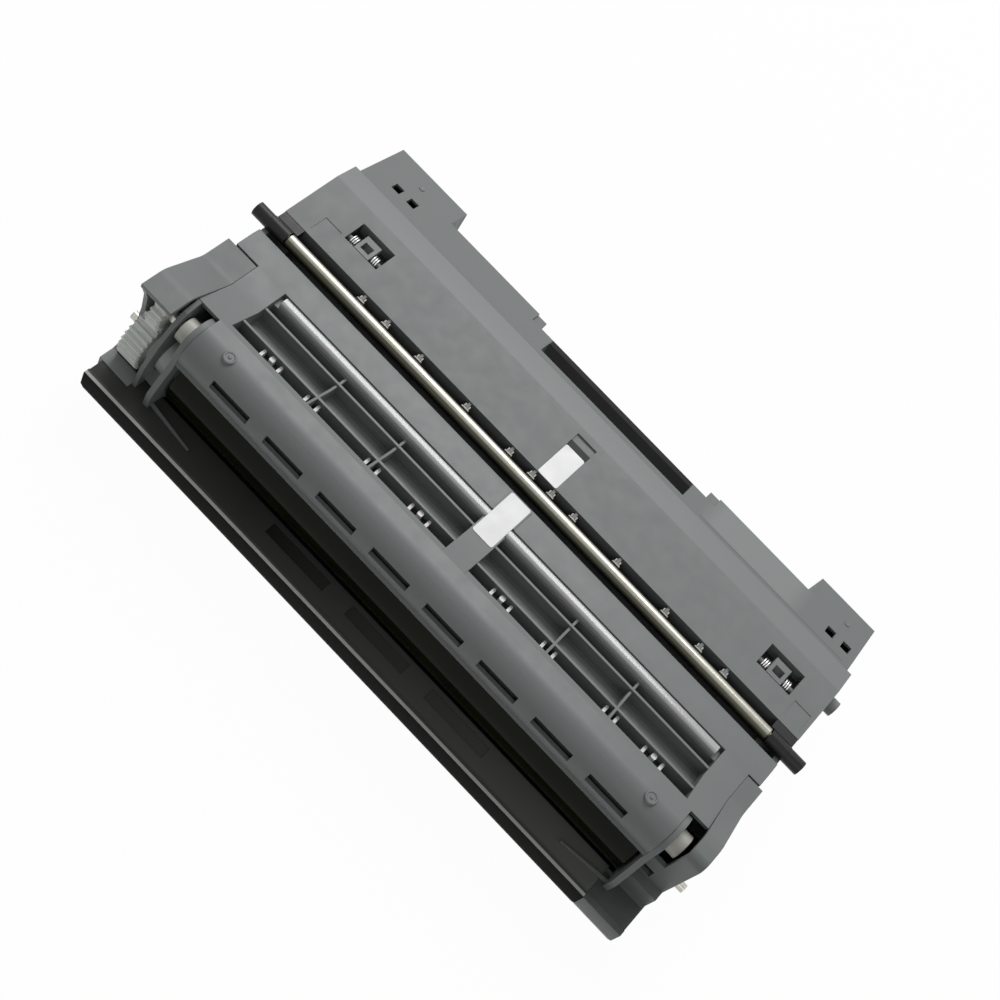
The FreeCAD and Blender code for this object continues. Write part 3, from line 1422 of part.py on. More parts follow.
def make_charger():
    """Charger under the drum: shield, grid, wire, end holders and the sliding cleaner."""
    low = -D.bearing_left + D.part_gap * 2
    high = D.bearing_right - D.part_gap * 2
    outer = D.channel_half - D.part_gap
    wall = D.shield_wall
    floor_z = D.channel_floor + D.part_gap
    shield = Piece("charger_shield")
    shield.add_x(low + D.holder_long, high - D.holder_long, [
        (DRUM_Y - outer, D.shield_top),
        (DRUM_Y - outer, floor_z),
        (DRUM_Y + outer, floor_z),
        (DRUM_Y + outer, D.shield_top),
        (DRUM_Y + outer - wall, D.shield_top),
        (DRUM_Y + outer - wall, floor_z + wall),
        (DRUM_Y - outer + wall, floor_z + wall),
        (DRUM_Y - outer + wall, D.shield_top),
    ])
    slot = D.cleaner_slot_half
    start = D.cleaner_x - D.cleaner_half - 1
    end = D.cleaner_x + D.cleaner_travel + D.cleaner_half + 1
    shield.cut_z(floor_z, floor_z + wall, rectangle(start, end, DRUM_Y - slot, DRUM_Y + slot))

    grid = Piece("charger_grid")
    grid.add_z(
        D.grid_z, D.grid_z + D.grid_thick,
        rectangle(low, high, DRUM_Y - outer + wall, DRUM_Y + outer - wall),
    )
    cells = 18
    clear = D.holder_long + 2
    pitch = (high - low - clear * 2) / cells
    windows = []
    for number in range(cells):
        left = low + clear + pitch * number + D.grid_thick
        windows.append(rectangle(
            left, left + pitch - D.grid_thick * 2, DRUM_Y - outer + 1, DRUM_Y + outer - 1,
        ))
    grid.cut_z(D.grid_z, D.grid_z + D.grid_thick, *windows)

    holder_top = D.grid_z - D.part_gap
    for name, start_x in (("left", low), ("right", high - D.holder_long)):
        holder = Piece(f"charger_holder_{name}")
        holder.add_x(
            start_x, start_x + D.holder_long - D.part_gap,
            rectangle(DRUM_Y - outer, DRUM_Y + outer, floor_z, holder_top),
        )
    wire = Piece("charger_wire")
    wire.add_x(
        low + D.holder_long - D.part_gap, high - D.holder_long,
        rectangle(
            DRUM_Y - D.wire_r, DRUM_Y + D.wire_r, D.wire_z - D.wire_r, D.wire_z + D.wire_r,
        ),
    )

    cleaner = Piece("wire_cleaner")
    left = D.cleaner_x - D.cleaner_half
    right = D.cleaner_x + D.cleaner_half
    inside = outer - wall - D.pad_gap * 2
    gap = D.wire_r + D.pad_gap
    cleaner.add_x(left, right, [
        (DRUM_Y - inside, D.shield_top - 1),
        (DRUM_Y - inside, floor_z + wall + D.pad_gap),
        (DRUM_Y + inside, floor_z + wall + D.pad_gap),
        (DRUM_Y + inside, D.shield_top - 1),
        (DRUM_Y + gap, D.shield_top - 1),
        (DRUM_Y + gap, D.wire_z - gap),
        (DRUM_Y - gap, D.wire_z - gap),
        (DRUM_Y - gap, D.shield_top - 1),
    ])
    stem = D.cleaner_slot_half - D.pad_gap
    tab_top = D.base_z + D.tab_groove - D.pad_gap
    cleaner.add_x(
        left + 1, right - 1,
        rectangle(DRUM_Y - stem, DRUM_Y + stem, tab_top, floor_z + wall + D.pad_gap),
    )
    cleaner.add_x(
        left, right,
        rectangle(
            DRUM_Y - D.tab_half, DRUM_Y + D.tab_half, D.base_z + D.pad_gap, tab_top,
        ),
    )


def make_screws():
    """Heads of the charger cover's screws, sunk in its underside."""
    screws = Piece("cover_screws")
    places = [(paper(side * D.screw_x), D.screw_y) for side in (-1, 1)]
    screws.add_z(
        D.base_z + D.pad_gap * 2, D.base_z + D.screw_sink,
        circles=[(x, y, D.screw_head_r) for x, y in places],
    )


def make_lever():
    """Lever that frees the toner cartridge, on its pin in the far left corner."""
    lever = Piece("release_lever")
    low = -(D.block_half - D.side_wall) + D.lever_gap
    high = low + D.lever_wide
    arm = D.lever_arm
    lever.add_x(low, high, circles=((D.lever_y, D.lever_z, D.lever_hub),))
    lever.add_x(
        low, high, rectangle(D.lever_y - arm, D.lever_y + arm, D.lever_low, D.lever_z),
    )
    lever.add_x(
        low, high,
        rectangle(
            D.lever_y - arm, D.lever_tab, D.lever_low - D.lever_tab_thick, D.lever_low,
        ),
    )
    lever.cut_x(low, high, circles=((D.lever_y, D.lever_z, D.lever_pin + D.running_fit),))


def make_earth_plate():
    """Metal earth plate on the right end, around the drum shaft."""
    plate = Piece("earth_plate")
    low = D.right_outer + D.part_gap
    plate.add_x(
        low, low + D.earth_thick,
        rectangle(
            DRUM_Y - D.earth_half + 2.4, DRUM_Y + D.earth_half, D.earth_low, DRUM_Z + D.earth_half,
        ),
    )
    shaft = D.drum_shaft_r + D.seat_fit
    plate.cut_x(low, low + D.earth_thick, circles=((DRUM_Y, DRUM_Z, shaft),))


def build():
    """Make every piece, check it and write it."""
    make_main_frame()
    make_chute()
    make_strip()
    make_runners()
    make_labels()
    make_transfer_cover()
    make_left_cover()
    make_right_cover()
    make_charger_cover()
    make_charger()
    make_drum()
    make_transfer_roller()
    make_pinch_roller()
    make_press_pads()
    make_screws()
    make_lever()
    make_earth_plate()
    DOC.recompute()
    faults = []
    for thing in DOC.Objects:
        if "Invalid" in thing.State or "Error" in thing.State:
            faults.append(f"{thing.Label}: {thing.State}")
    for node in NODES:
        if node.Shape.isNull() or not node.Shape.isValid() or not node.Shape.Solids:
            faults.append(f"{node.Label}: bad shape")
    if faults:
        raise RuntimeError("; ".join(faults))
    os.makedirs("parts", exist_ok=True)
    for node in NODES:
        node.Shape.exportStep(f"parts/{node.Label}.step")
        box = node.Shape.BoundBox
        print(
            f"{node.Label}: {len(node.Shape.Solids)} solids, "
            f"x {box.XMin:.1f} {box.XMax:.1f}, y {box.YMin:.1f} {box.YMax:.1f}, "
            f"z {box.ZMin:.1f} {box.ZMax:.1f}"
        )


build()
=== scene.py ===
"""Looks of a laser printer's drum unit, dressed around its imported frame."""

from __future__ import annotations

import logging
import math
import random
from dataclasses import dataclass
from enum import Enum
from functools import cache, cached_property
from typing import Sequence

import bmesh
import bpy
from mathutils import Matrix, Vector


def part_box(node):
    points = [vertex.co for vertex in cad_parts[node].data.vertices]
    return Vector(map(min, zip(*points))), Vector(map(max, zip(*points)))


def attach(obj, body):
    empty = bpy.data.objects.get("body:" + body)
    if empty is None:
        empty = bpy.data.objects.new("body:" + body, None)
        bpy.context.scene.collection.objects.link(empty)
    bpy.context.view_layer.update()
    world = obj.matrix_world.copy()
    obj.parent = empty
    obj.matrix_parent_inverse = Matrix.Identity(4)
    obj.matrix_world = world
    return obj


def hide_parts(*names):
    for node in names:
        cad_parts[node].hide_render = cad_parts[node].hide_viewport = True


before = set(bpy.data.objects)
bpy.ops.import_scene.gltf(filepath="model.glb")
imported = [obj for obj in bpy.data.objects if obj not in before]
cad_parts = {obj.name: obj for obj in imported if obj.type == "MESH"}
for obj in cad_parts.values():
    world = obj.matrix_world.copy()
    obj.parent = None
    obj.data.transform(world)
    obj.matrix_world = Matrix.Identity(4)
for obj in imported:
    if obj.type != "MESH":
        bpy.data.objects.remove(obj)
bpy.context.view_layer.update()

LOG = logging.getLogger("drum_unit")
MM = 0.001
PAPER_MIDDLE = 4.0
WHITE = (1.0, 1.0, 1.0, 1.0)
WELD_GAP = 2e-6
FLAT_ANGLE = 0.6
BEVEL_ANGLE = 28.0
BEVEL_STEPS = 2
PLAIN_LIMIT = 24.0
BEVELLED_LIMIT = 60.0
NORMAL_WEIGHT = 60
WIRE_STEPS = 4
TOP_RISE = (0.5, 0.7)

RGB = tuple[float, float, float]
Point = tuple[float, float, float]
Pair = tuple[float, float]
Object = bpy.types.Object
Material = bpy.types.Material
Socket = bpy.types.NodeSocket
Mesh = bmesh.types.BMesh


class Body(Enum):
    """Bodies that carry pieces of the scene."""

    FRAME = "frame"
    DRUM = "drum"
    TRANSFER = "transfer_roller"
    PINCH = "pinch"


class Slot(Enum):
    """Material slots of the scene's own pieces."""

    COVER = "cover_plastic"
    DARK = "dark_plastic"
    BLACK = "black_plastic"
    WHITE = "white_plastic"
    LABEL = "label"
    ROLLER = "roller_steel"
    SPRING = "spring_steel"
    DRUM = "drum_coating"
    FOAM = "foam"


class Side(Enum):
    """Left or right end of the unit."""

    LEFT = -1
    RIGHT = 1

    @property
    def tag(self) -> str:
        """The side's name in the names of the pieces."""
        return self.name.lower()


class Edge(Enum):
    """How far the edges of a piece are softened, in millimetres."""

    SHARP = 0.0
    FINE = 0.1
    MOULDED = 0.28


@dataclass(frozen=True)
class Noise:
    """Noise in waves per metre, stretched along the unit or around it."""

    scale: float
    detail: float = 2.0
    along: float = 1.0
    around: float = 1.0


@dataclass(frozen=True)
class Band:
    """Part of a moulding with another tone and gloss, in millimetres; many bands paint
    light or shade.

    Attributes:
        y: Limits along Y.
        tint: Factor on the colour.
        roughness: Roughness inside the limits.
        z: Limits along Z.
        x: Limits along X.
        gloss: Factor on the lustre.
        blur: Width over which it fades along Y and Z.
        fade: Width over which it fades along X.
        upward: Whether only faces that look up have it.
    """

    y: Pair
    tint: float
    roughness: float
    z: Pair = (-10.0, 90.0)
    x: Pair = (-200.0, 200.0)
    gloss: float = 1.0
    blur: float = 0.6
    fade: float = 0.6
    upward: bool = False


class NodeBench:
    """Wires the nodes of one material or world."""

    def __init__(self, owner: Material | bpy.types.World) -> None:
        """Empties the nodes of the owner.

        Args:
            owner: The material or world that is wired.
        """
        owner.use_nodes = True
        self.owner = owner
        self.tree = owner.node_tree
        self.tree.nodes.clear()

    @classmethod
    def material(cls, name: str) -> NodeBench:
        """Starts a new material of that name."""
        return cls(bpy.data.materials.new(name))

    @cached_property
    def coordinates(self) -> Socket:
        """Object coordinates in metres."""
        return self.add("ShaderNodeTexCoord").outputs["Object"]

    def add(
        self, kind: str, values: dict | None = None, **settings: str,
    ) -> bpy.types.Node:
        """Adds a node.

        Args:
            kind: Type name of the node.
            values: Values or sockets for its inputs, by name or index.
            **settings: Properties of the node itself.

        Returns:
            The new node.
        """
        node = self.tree.nodes.new(kind)
        for key, value in settings.items():
            setattr(node, key, value)
        for key, value in (values or {}).items():
            if isinstance(value, Socket):
                self.tree.links.new(value, node.inputs[key])
            else:
                node.inputs[key].default_value = value
        return node

    def math(
        self, operation: str, first: float | Socket, second: float | Socket,
    ) -> Socket:
        """Result of an operation on two values."""
        values = {0: first, 1: second}
        return self.add("ShaderNodeMath", values, operation=operation).outputs["Value"]

    def noise(self, noise: Noise) -> Socket:
        """Noise over the object, around one half.

        Args:
            noise: Its waves and stretch.

        Returns:
            The noise value.
        """
        stretch = (noise.along, noise.around, noise.around)
        values = {"Vector": self.coordinates, "Scale": stretch}
        place = self.add("ShaderNodeMapping", values).outputs["Vector"]
        values = {"Vector": place, "Scale": noise.scale, "Detail": noise.detail}
        return self.add("ShaderNodeTexNoise", values).outputs["Fac"]

    def spread(
        self, value: Socket, low: float, high: float,
        start: float = 0.3, end: float = 0.7,
    ) -> Socket:
        """Maps a value from start and end to low and high.

        Args:
            value: The value to map.
            low: Result at start.
            high: Result at end.
            start: Lower end of the value.
            end: Upper end of the value.

        Returns:
            The mapped value.
        """
        values = {
            "Value": value, "From Min": start, "From Max": end,
            "To Min": low, "To Max": high,
        }
        return self.add("ShaderNodeMapRange", values).outputs["Result"]

    def uneven(self, value: Socket, middle: float, reach: Pair) -> Socket:
        """A value from reach[0] below a middle to reach[1] above it."""
        return self.spread(value, middle - reach[0], middle + reach[1])

    def blend(
        self, factor: Socket, first: RGB | Socket, second: RGB | Socket,
    ) -> Socket:
        """Mixes two colours.

        Args:
            factor: Share of the second colour.
            first: First colour, or the socket that gives it.
            second: Second colour, or the socket that gives it.

        Returns:
            The mixed colour.
        """
        start, other = (
            colour if isinstance(colour, Socket) else (*colour, 1.0)
            for colour in (first, second)
        )
        values = {0: factor, 6: start, 7: other}
        return self.add("ShaderNodeMix", values, data_type="RGBA").outputs[2]

    def tint(self, value: Socket, colour: RGB, shades: Pair) -> Socket:
        """Shades of a colour, from the first at a low value to the second."""
        low, high = (shade(colour, factor) for factor in shades)
        return self.blend(self.spread(value, 0.0, 1.0), low, high)

    def mix(self, factor: Socket, first: float | Socket, second: float) -> Socket:
        """Mixes a value with a number by factor."""
        values = {0: factor, 2: first, 3: second}
        return self.add("ShaderNodeMix", values).outputs[0]

    def rise(self) -> Socket:
        """How far a face looks up, 1 for a level top."""
        facing = self.add("ShaderNodeTexCoord").outputs["Normal"]
        return self.add("ShaderNodeSeparateXYZ", {"Vector": facing}).outputs["Z"]

    def band(self, band: Band) -> Socket:
        """Value that is 1 inside a band of the object and fades at its sides.

        Args:
            band: The band.

        Returns:
            The mask.
        """
        place = self.add("ShaderNodeSeparateXYZ", {"Vector": self.coordinates})
        limits = (band.x, band.y, band.z)
        blurs = (band.fade, band.blur, band.blur)
        inside = 1.0
        for axis, (low, high), blur in zip("XYZ", limits, blurs):
            for edge, before, after in ((low, 0.0, 1.0), (high, 1.0, 0.0)):
                start, end = (edge - blur / 2) * MM, (edge + blur / 2) * MM
                side = self.spread(place.outputs[axis], before, after, start, end)
                inside = self.math("MULTIPLY", inside, side)
        if band.upward:
            level = self.spread(self.rise(), 0.0, 1.0, *TOP_RISE)
            inside = self.math("MULTIPLY", inside, level)
        return inside

    def bump(self, height: Socket, depth: float, under: Socket | None = None) -> Socket:
        """Raises the surface by a height value.

        Args:
            height: The height, from 0 to 1.
            depth: Depth of the relief in millimetres.
            under: Normal of a coarser relief below it.

        Returns:
            The bent normal.
        """
        values = {"Height": height, "Distance": depth * MM, "Strength": 1.0}
        if under is not None:
            values["Normal"] = under
        return self.add("ShaderNodeBump", values).outputs["Normal"]

    def seen(self) -> Socket:
        """Value that is 1 for rays that show the background.

        Returns:
            The value.
        """
        path = self.add("ShaderNodeLightPath").outputs
        value = path["Is Camera Ray"]
        for name in ("Is Glossy Ray", "Is Transmission Ray"):
            value = self.math("MAXIMUM", value, path[name])
        return value

    def end(self, kind: str, surface: bpy.types.Node) -> None:
        """Ends the tree in the first output of a surface node."""
        self.add(kind, {"Surface": surface.outputs[0]})

    def close(self, **values: float | Socket) -> Material:
        """Ends the material in a principled surface.

        Args:
            **values: Inputs of the surface, with underscores for spaces.

        Returns:
            The finished material.
        """
        inputs = {key.replace("_", " "): value for key, value in values.items()}
        surface = self.add("ShaderNodeBsdfPrincipled", inputs)
        self.end("ShaderNodeOutputMaterial", surface)
        return self.owner


def shade(colour: RGB, factor: float) -> RGB:
    """A colour made lighter or darker by factor."""
    red, green, blue = colour
    return (red * factor, green * factor, blue * factor)


@dataclass(frozen=True)
class Moulding:
    """Moulded plastic with a fine spark-eroded grain."""

    name: str
    colour: RGB
    roughness: float = 0.5
    grain: float = 0.02
    dust: float = 0.12
    lustre: float = 0.3
    bands: tuple[Band, ...] = ()
    cloud: Noise = Noise(22.0, 4.0)
    cloud_shades: Pair = (0.982, 1.018)
    flow: Noise = Noise(9.0, 3.0, along=0.35)
    flow_share: float = 0.3
    flow_range: Pair = (0.35, 0.75)
    flow_shade: float = 0.972
    specks: Noise = Noise(5200.0)
    speck_range: Pair = (0.55, 0.8)
    speck_shade: float = 1.35
    patches: Noise = Noise(160.0, 3.0)
    patch_reach: Pair = (0.05, 0.06)
    waves: Noise = Noise(55.0)
    wave_depth: float = 0.008
    pores: Noise = Noise(2200.0, 3.0)

    @cache
    def build(self) -> Material:
        """Wires the plastic.

        Returns:
            The material.
        """
        bench = NodeBench.material(self.name)
        tone = bench.tint(bench.noise(self.cloud), self.colour, self.cloud_shades)
        flow = bench.noise(self.flow)
        flow = bench.spread(flow, 0.0, self.flow_share, *self.flow_range)
        tone = bench.blend(flow, tone, shade(self.colour, self.flow_shade))
        specks = bench.noise(self.specks)
        specks = bench.spread(specks, 0.0, self.dust, *self.speck_range)
        tone = bench.blend(specks, tone, shade(self.colour, self.speck_shade))
        patches = bench.noise(self.patches)
        rough = bench.uneven(patches, self.roughness, self.patch_reach)
        lustre = self.lustre
        # Bands paint light and shade, or other tones, into the colour and gloss.
        for band in self.bands:
            inside = bench.band(band)
            tone = bench.blend(inside, tone, shade(self.colour, band.tint))
            rough = bench.mix(inside, rough, band.roughness)
            lustre = bench.mix(inside, lustre, self.lustre * band.gloss)
        wave = bench.bump(bench.noise(self.waves), self.wave_depth)
        normal = bench.bump(bench.noise(self.pores), self.grain, wave)
        return bench.close(
            Base_Color=tone, Roughness=rough, Normal=normal, Specular_IOR_Level=lustre,
        )


@dataclass(frozen=True)
class GroundSteel:
    """Round steel, ground so that fine rings run around it."""

    name: str
    colour: RGB
    roughness: float = 0.22
    rings: Noise = Noise(1500.0, 4.0, around=0.02)
    ring_depth: float = 0.004
    ring_shades: Pair = (0.86, 1.06)
    stains: Noise = Noise(90.0, 3.0, around=0.15)
    stain_share: float = 0.5
    stain_range: Pair = (0.4, 0.75)
    stain_shade: float = 0.8
    stain_reach: Pair = (0.05, 0.1)
    # Painted reflection: with a shade colour given, the steel is bright only on faces
    # that look up.
    painted_shade_colour: RGB | None = None
    painted_highlight_rise: Pair = (0.80, 0.93)

    @cache
    def build(self) -> Material:
        """Wires the steel.

        Returns:
            The material.
        """
        bench = NodeBench.material(self.name)
        rings = bench.noise(self.rings)
        stains = bench.noise(self.stains)
        tone = bench.tint(rings, self.colour, self.ring_shades)
        stained = bench.spread(stains, 0.0, self.stain_share, *self.stain_range)
        tone = bench.blend(stained, tone, shade(self.colour, self.stain_shade))
        # Painted highlight: faces that look up keep the bright colour, the rest take
        # the painted shade colour.
        if self.painted_shade_colour:
            painted_highlight_share = bench.spread(bench.rise(), 0.0, 1.0, *self.painted_highlight_rise)
            tone = bench.blend(painted_highlight_share, self.painted_shade_colour, tone)
        rough = bench.uneven(stains, self.roughness, self.stain_reach)
        normal = bench.bump(rings, self.ring_depth)
        return bench.close(
            Base_Color=tone, Metallic=1.0, Roughness=rough, Normal=normal,
        )


@dataclass(frozen=True)
class RolledSheet:
    """Sheet metal with rolling lines along the unit."""

    name: str
    colour: RGB
    roughness: float = 0.3
    lines: Noise = Noise(1600.0, 3.0, along=0.03)
    line_depth: float = 0.003
    line_shades: Pair = (0.9, 1.05)
    patches: Noise = Noise(40.0, 3.0)
    patch_reach: Pair = (0.06, 0.08)

    @cache
    def build(self) -> Material:
        """Wires the sheet.

        Returns:
            The material.
        """
        bench = NodeBench.material(self.name)
        lines = bench.noise(self.lines)
        tone = bench.tint(lines, self.colour, self.line_shades)
        patches = bench.noise(self.patches)
        rough = bench.uneven(patches, self.roughness, self.patch_reach)
        normal = bench.bump(lines, self.line_depth)
        return bench.close(
            Base_Color=tone, Metallic=1.0, Roughness=rough, Normal=normal,
        )


@dataclass(frozen=True)
class GlossCoat:
    """Hard, glossy surface under a thin clear coat."""

    name: str
    colour: RGB
    roughness: float
    lustre: float
    coat: float
    coat_roughness: float
    tones: Noise
    tone_shades: Pair
    haze: Noise
    haze_reach: Pair
    relief: Noise
    relief_depth: float

    @cache
    def build(self) -> Material:
        """Wires the coat.

        Returns:
            The material.
        """
        bench = NodeBench.material(self.name)
        tones, haze = bench.noise(self.tones), bench.noise(self.haze)
        return bench.close(
            Base_Color=bench.tint(tones, self.colour, self.tone_shades),
            Roughness=bench.uneven(haze, self.roughness, self.haze_reach),
            Normal=bench.bump(bench.noise(self.relief), self.relief_depth),
            Specular_IOR_Level=self.lustre,
            Coat_Weight=self.coat, Coat_Roughness=self.coat_roughness,
        )


@dataclass(frozen=True)
class CellFoam:
    """Conductive foam with open cells."""

    name: str
    colour: RGB
    cell_scale: float = 2400.0
    cell_range: Pair = (0.1, 0.6)
    cell_shade: float = 0.45
    cell_depth: float = 0.12
    cloud: Noise = Noise(90.0, 3.0)
    rough_range: Pair = (0.82, 0.95)

    @cache
    def build(self) -> Material:
        """Wires the foam.

        Returns:
            The material.
        """
        bench = NodeBench.material(self.name)
        values = {"Vector": bench.coordinates, "Scale": self.cell_scale}
        cells = bench.add("ShaderNodeTexVoronoi", values).outputs["Distance"]
        depth = bench.spread(cells, 0.0, 1.0, *self.cell_range)
        return bench.close(
            Base_Color=bench.blend(
                depth, shade(self.colour, self.cell_shade), self.colour,
            ),
            Roughness=bench.spread(bench.noise(self.cloud), *self.rough_range),
            Normal=bench.bump(cells, self.cell_depth),
        )


@dataclass(frozen=True)
class LabelFilm:
    """White film of a blank label."""

    name: str
    colour: RGB
    roughness: float = 0.42
    coat: float = 0.15
    coat_roughness: float = 0.25
    fibres: Noise = Noise(3200.0, 3.0, along=0.6)
    fibre_depth: float = 0.006
    smudges: Noise = Noise(120.0, 4.0)
    smudge_range: Pair = (0.35, 0.8)
    smudge_shade: float = 0.93
    smudge_reach: Pair = (0.06, 0.1)
    waves: Noise = Noise(140.0)
    wave_depth: float = 0.03

    @cache
    def build(self) -> Material:
        """Wires the film.

        Returns:
            The material.
        """
        bench = NodeBench.material(self.name)
        smudges = bench.noise(self.smudges)
        share = bench.spread(smudges, 0.0, 1.0, *self.smudge_range)
        wave = bench.bump(bench.noise(self.waves), self.wave_depth)
        return bench.close(
            Base_Color=bench.blend(
                share, self.colour, shade(self.colour, self.smudge_shade),
            ),
            Roughness=bench.uneven(smudges, self.roughness, self.smudge_reach),
            Normal=bench.bump(bench.noise(self.fibres), self.fibre_depth, wave),
            Coat_Weight=self.coat, Coat_Roughness=self.coat_roughness,
        )


# Painted light: the slope's tops are lightened to stand for the light falling on them
# from the far side.
SLOPE_PAINTED_LIGHT = Band((38.2, 49.4), 1.12, 0.42, upward=True)
DECK = Band((49.5, 90.0), 0.93, 0.56, upward=True)
DECK_PANEL = Band((53.2, 69.2), 1.22, 0.5, x=(55.0, 101.0), fade=8.0, upward=True)
DECK_SEAM = Band((52.4, 52.8), 0.62, 0.6, x=(52.0, 128.0), blur=0.3, upward=True)
# Painted shade: the recess behind the pinch roller is darkened almost to black.
ROLLER_SLOT_PAINTED_SHADE = Band(
    (-1.6, 9.95), 0.05, 0.6, z=(0.0, 50.2), x=(-124.0, 124.0), blur=0.3,
)
# Painted shade: the wells of the pad windows are darkened almost to black.
WINDOWS_PAINTED_SHADE = Band((20.9, 31.5), 0.08, 0.6, z=(0.0, 50.4), x=(-114.0, 122.0), blur=0.3)
# Painted shade: the inside of the grip slot is darkened almost to black.
GRIP_SLOT_PAINTED_SHADE = Band(
    (53.6, 63.5), 0.05, 0.5, z=(-1.0, 45.7), x=(-34.4, 42.4), gloss=0.4, blur=0.2,
)
# Painted highlight: a bright line along the top of the tray's rim.
TRAY_RIM_PAINTED_HIGHLIGHT = Band((-79.9, -78.6), 11.0, 0.26, z=(21.8, 23.0), blur=0.3)
# Painted shade: the tray's outside below the rim and its near wall are darkened and
# dulled.
TRAY_OUTSIDE_PAINTED_SHADE = Band((-90.0, -40.0), 0.3, 0.7, z=(-10.0, 21.4), gloss=0.1, blur=0.3)
TRAY_WALL_PAINTED_SHADE = Band((-90.0, -79.9), 0.3, 0.7, gloss=0.1, blur=0.2)
# Painted light: the tray's top grows lighter towards the right.
TRAY_PAINTED_LIGHT = Band(
    (-77.5, -40.0), 3.4, 0.4, z=(20.8, 30.0), x=(40.0, 400.0), fade=200.0, upward=True,
)
# Painted light: the floors between the chute's ribs are lightened against the ribs'
# shade.
GRID_FLOOR_PAINTED_LIGHT = Band((-46.0, -27.0), 1.5, 0.4, z=(43.2, 44.2), upward=True)
HEEL = Band((-72.0, -60.0), 1.5, 0.4, z=(20.0, 38.0), blur=2.0)
FOOT = Band((-90.0, -66.5), 0.42, 0.4, z=(-10.0, 30.0), blur=0.4)

# Painted light on the slope, painted shade in the roller slot, windows and grip, plain
# tones on the deck and its seam.
FRAME_TONE_AND_PAINTED_LIGHT_BANDS = (SLOPE_PAINTED_LIGHT, DECK, DECK_PANEL, DECK_SEAM, ROLLER_SLOT_PAINTED_SHADE, WINDOWS_PAINTED_SHADE, GRIP_SLOT_PAINTED_SHADE)
# Painted highlight on the rim, painted shade on the outside, painted light on the
# tray's right.
TRAY_PAINTED_LIGHT_BANDS = (TRAY_RIM_PAINTED_HIGHLIGHT, TRAY_OUTSIDE_PAINTED_SHADE, TRAY_WALL_PAINTED_SHADE, TRAY_PAINTED_LIGHT)
COVER_COLOUR = (0.182, 0.195, 0.193)
END_COLOUR = (0.170, 0.182, 0.180)

# The frame's grey carries painted light and shade from its bands.
FRAME_GREY = Moulding(
    "frame_grey_moulding", (0.190, 0.202, 0.200), 0.52, bands=FRAME_TONE_AND_PAINTED_LIGHT_BANDS,
)
COVER_GREY = Moulding("cover_grey_moulding", COVER_COLOUR, 0.40)
# The chute's grey carries painted light on the floors between its ribs.
CHUTE_GREY = Moulding("chute_grey_moulding", COVER_COLOUR, 0.40, bands=(GRID_FLOOR_PAINTED_LIGHT,))
HEEL_GREY = Moulding("heel_grey_moulding", END_COLOUR, 0.44, bands=(HEEL,))
FOOT_GREY = Moulding("foot_grey_moulding", END_COLOUR, 0.44, bands=(FOOT,))
# The tray's dark grey carries a painted highlight, painted shade and painted light from
# its bands.
TRAY_DARK = Moulding(
    "tray_dark_moulding", (0.048, 0.050, 0.046), 0.40, dust=0.17, lustre=0.22,
    bands=TRAY_PAINTED_LIGHT_BANDS,
)
SLEEVE_BLACK = Moulding(
    "sleeve_black_moulding", (0.010, 0.010, 0.010), 0.34, 0.01, lustre=0.25,
)
RUNNER_WHITE = Moulding("runner_white_moulding", (0.93, 0.93, 0.90), 0.30, 0.004)
HEAD_BROWN = Moulding("head_brown_moulding", (0.050, 0.047, 0.042), 0.42, lustre=0.22)
CLIP_PALE = Moulding("clip_pale_moulding", (0.46, 0.45, 0.40), 0.34, 0.006)
GEAR_WHITE = Moulding("gear_white_moulding", (0.84, 0.87, 0.84), 0.34, 0.004)
BUSH_CREAM = Moulding("bush_cream_moulding", (0.55, 0.55, 0.50), 0.36, 0.008)
LEVER_GREEN = Moulding("lever_green_moulding", (0.035, 0.22, 0.10), 0.42)
LABEL_WHITE = LabelFilm("label_white_film", (0.84, 0.84, 0.85))
STRIP_POLISH = GlossCoat(
    "strip_polished_plastic", (0.46, 0.46, 0.46), 0.16, 0.5, 0.5, 0.08,
    tones=Noise(30.0, 3.0), tone_shades=(0.95, 1.04),
    haze=Noise(700.0, 3.0, along=0.06), haze_reach=(0.03, 0.1),
    relief=Noise(180.0), relief_depth=0.006,
)
# Painted highlight on the roller's top over a painted dark shade on its other sides.
ROLLER_STEEL = GroundSteel(
    "roller_ground_steel", (0.355, 0.348, 0.300), 0.26, ring_depth=0.0008,
    painted_shade_colour=(0.060, 0.061, 0.045),
)
SHAFT_STEEL = GroundSteel("shaft_ground_steel", (0.50, 0.49, 0.45), 0.2)
STAINLESS = RolledSheet("stainless_rolled_sheet", (0.60, 0.60, 0.60))
SPRING_WIRE = GroundSteel(
    "spring_drawn_wire", (0.74, 0.74, 0.73), 0.26,
    rings=Noise(2600.0, 4.0, around=0.02), ring_depth=0.002,
)
SCREW_STEEL = RolledSheet("screw_plated_steel", (0.52, 0.52, 0.54), 0.34)
DRUM_OLIVE = GlossCoat(
    "drum_olive_coating", (0.0060, 0.0075, 0.0015), 0.1, 0.1, 0.02, 0.05,
    tones=Noise(60.0, 4.0, around=0.1), tone_shades=(0.85, 1.12),
    haze=Noise(450.0, 3.0, around=0.25), haze_reach=(0.03, 0.08),
    relief=Noise(450.0, 3.0, around=0.25), relief_depth=0.002,
)
FOAM_GREY = CellFoam("roller_cell_foam", (0.055, 0.055, 0.058))

Finish = Moulding | GroundSteel | RolledSheet | GlossCoat | CellFoam | LabelFilm


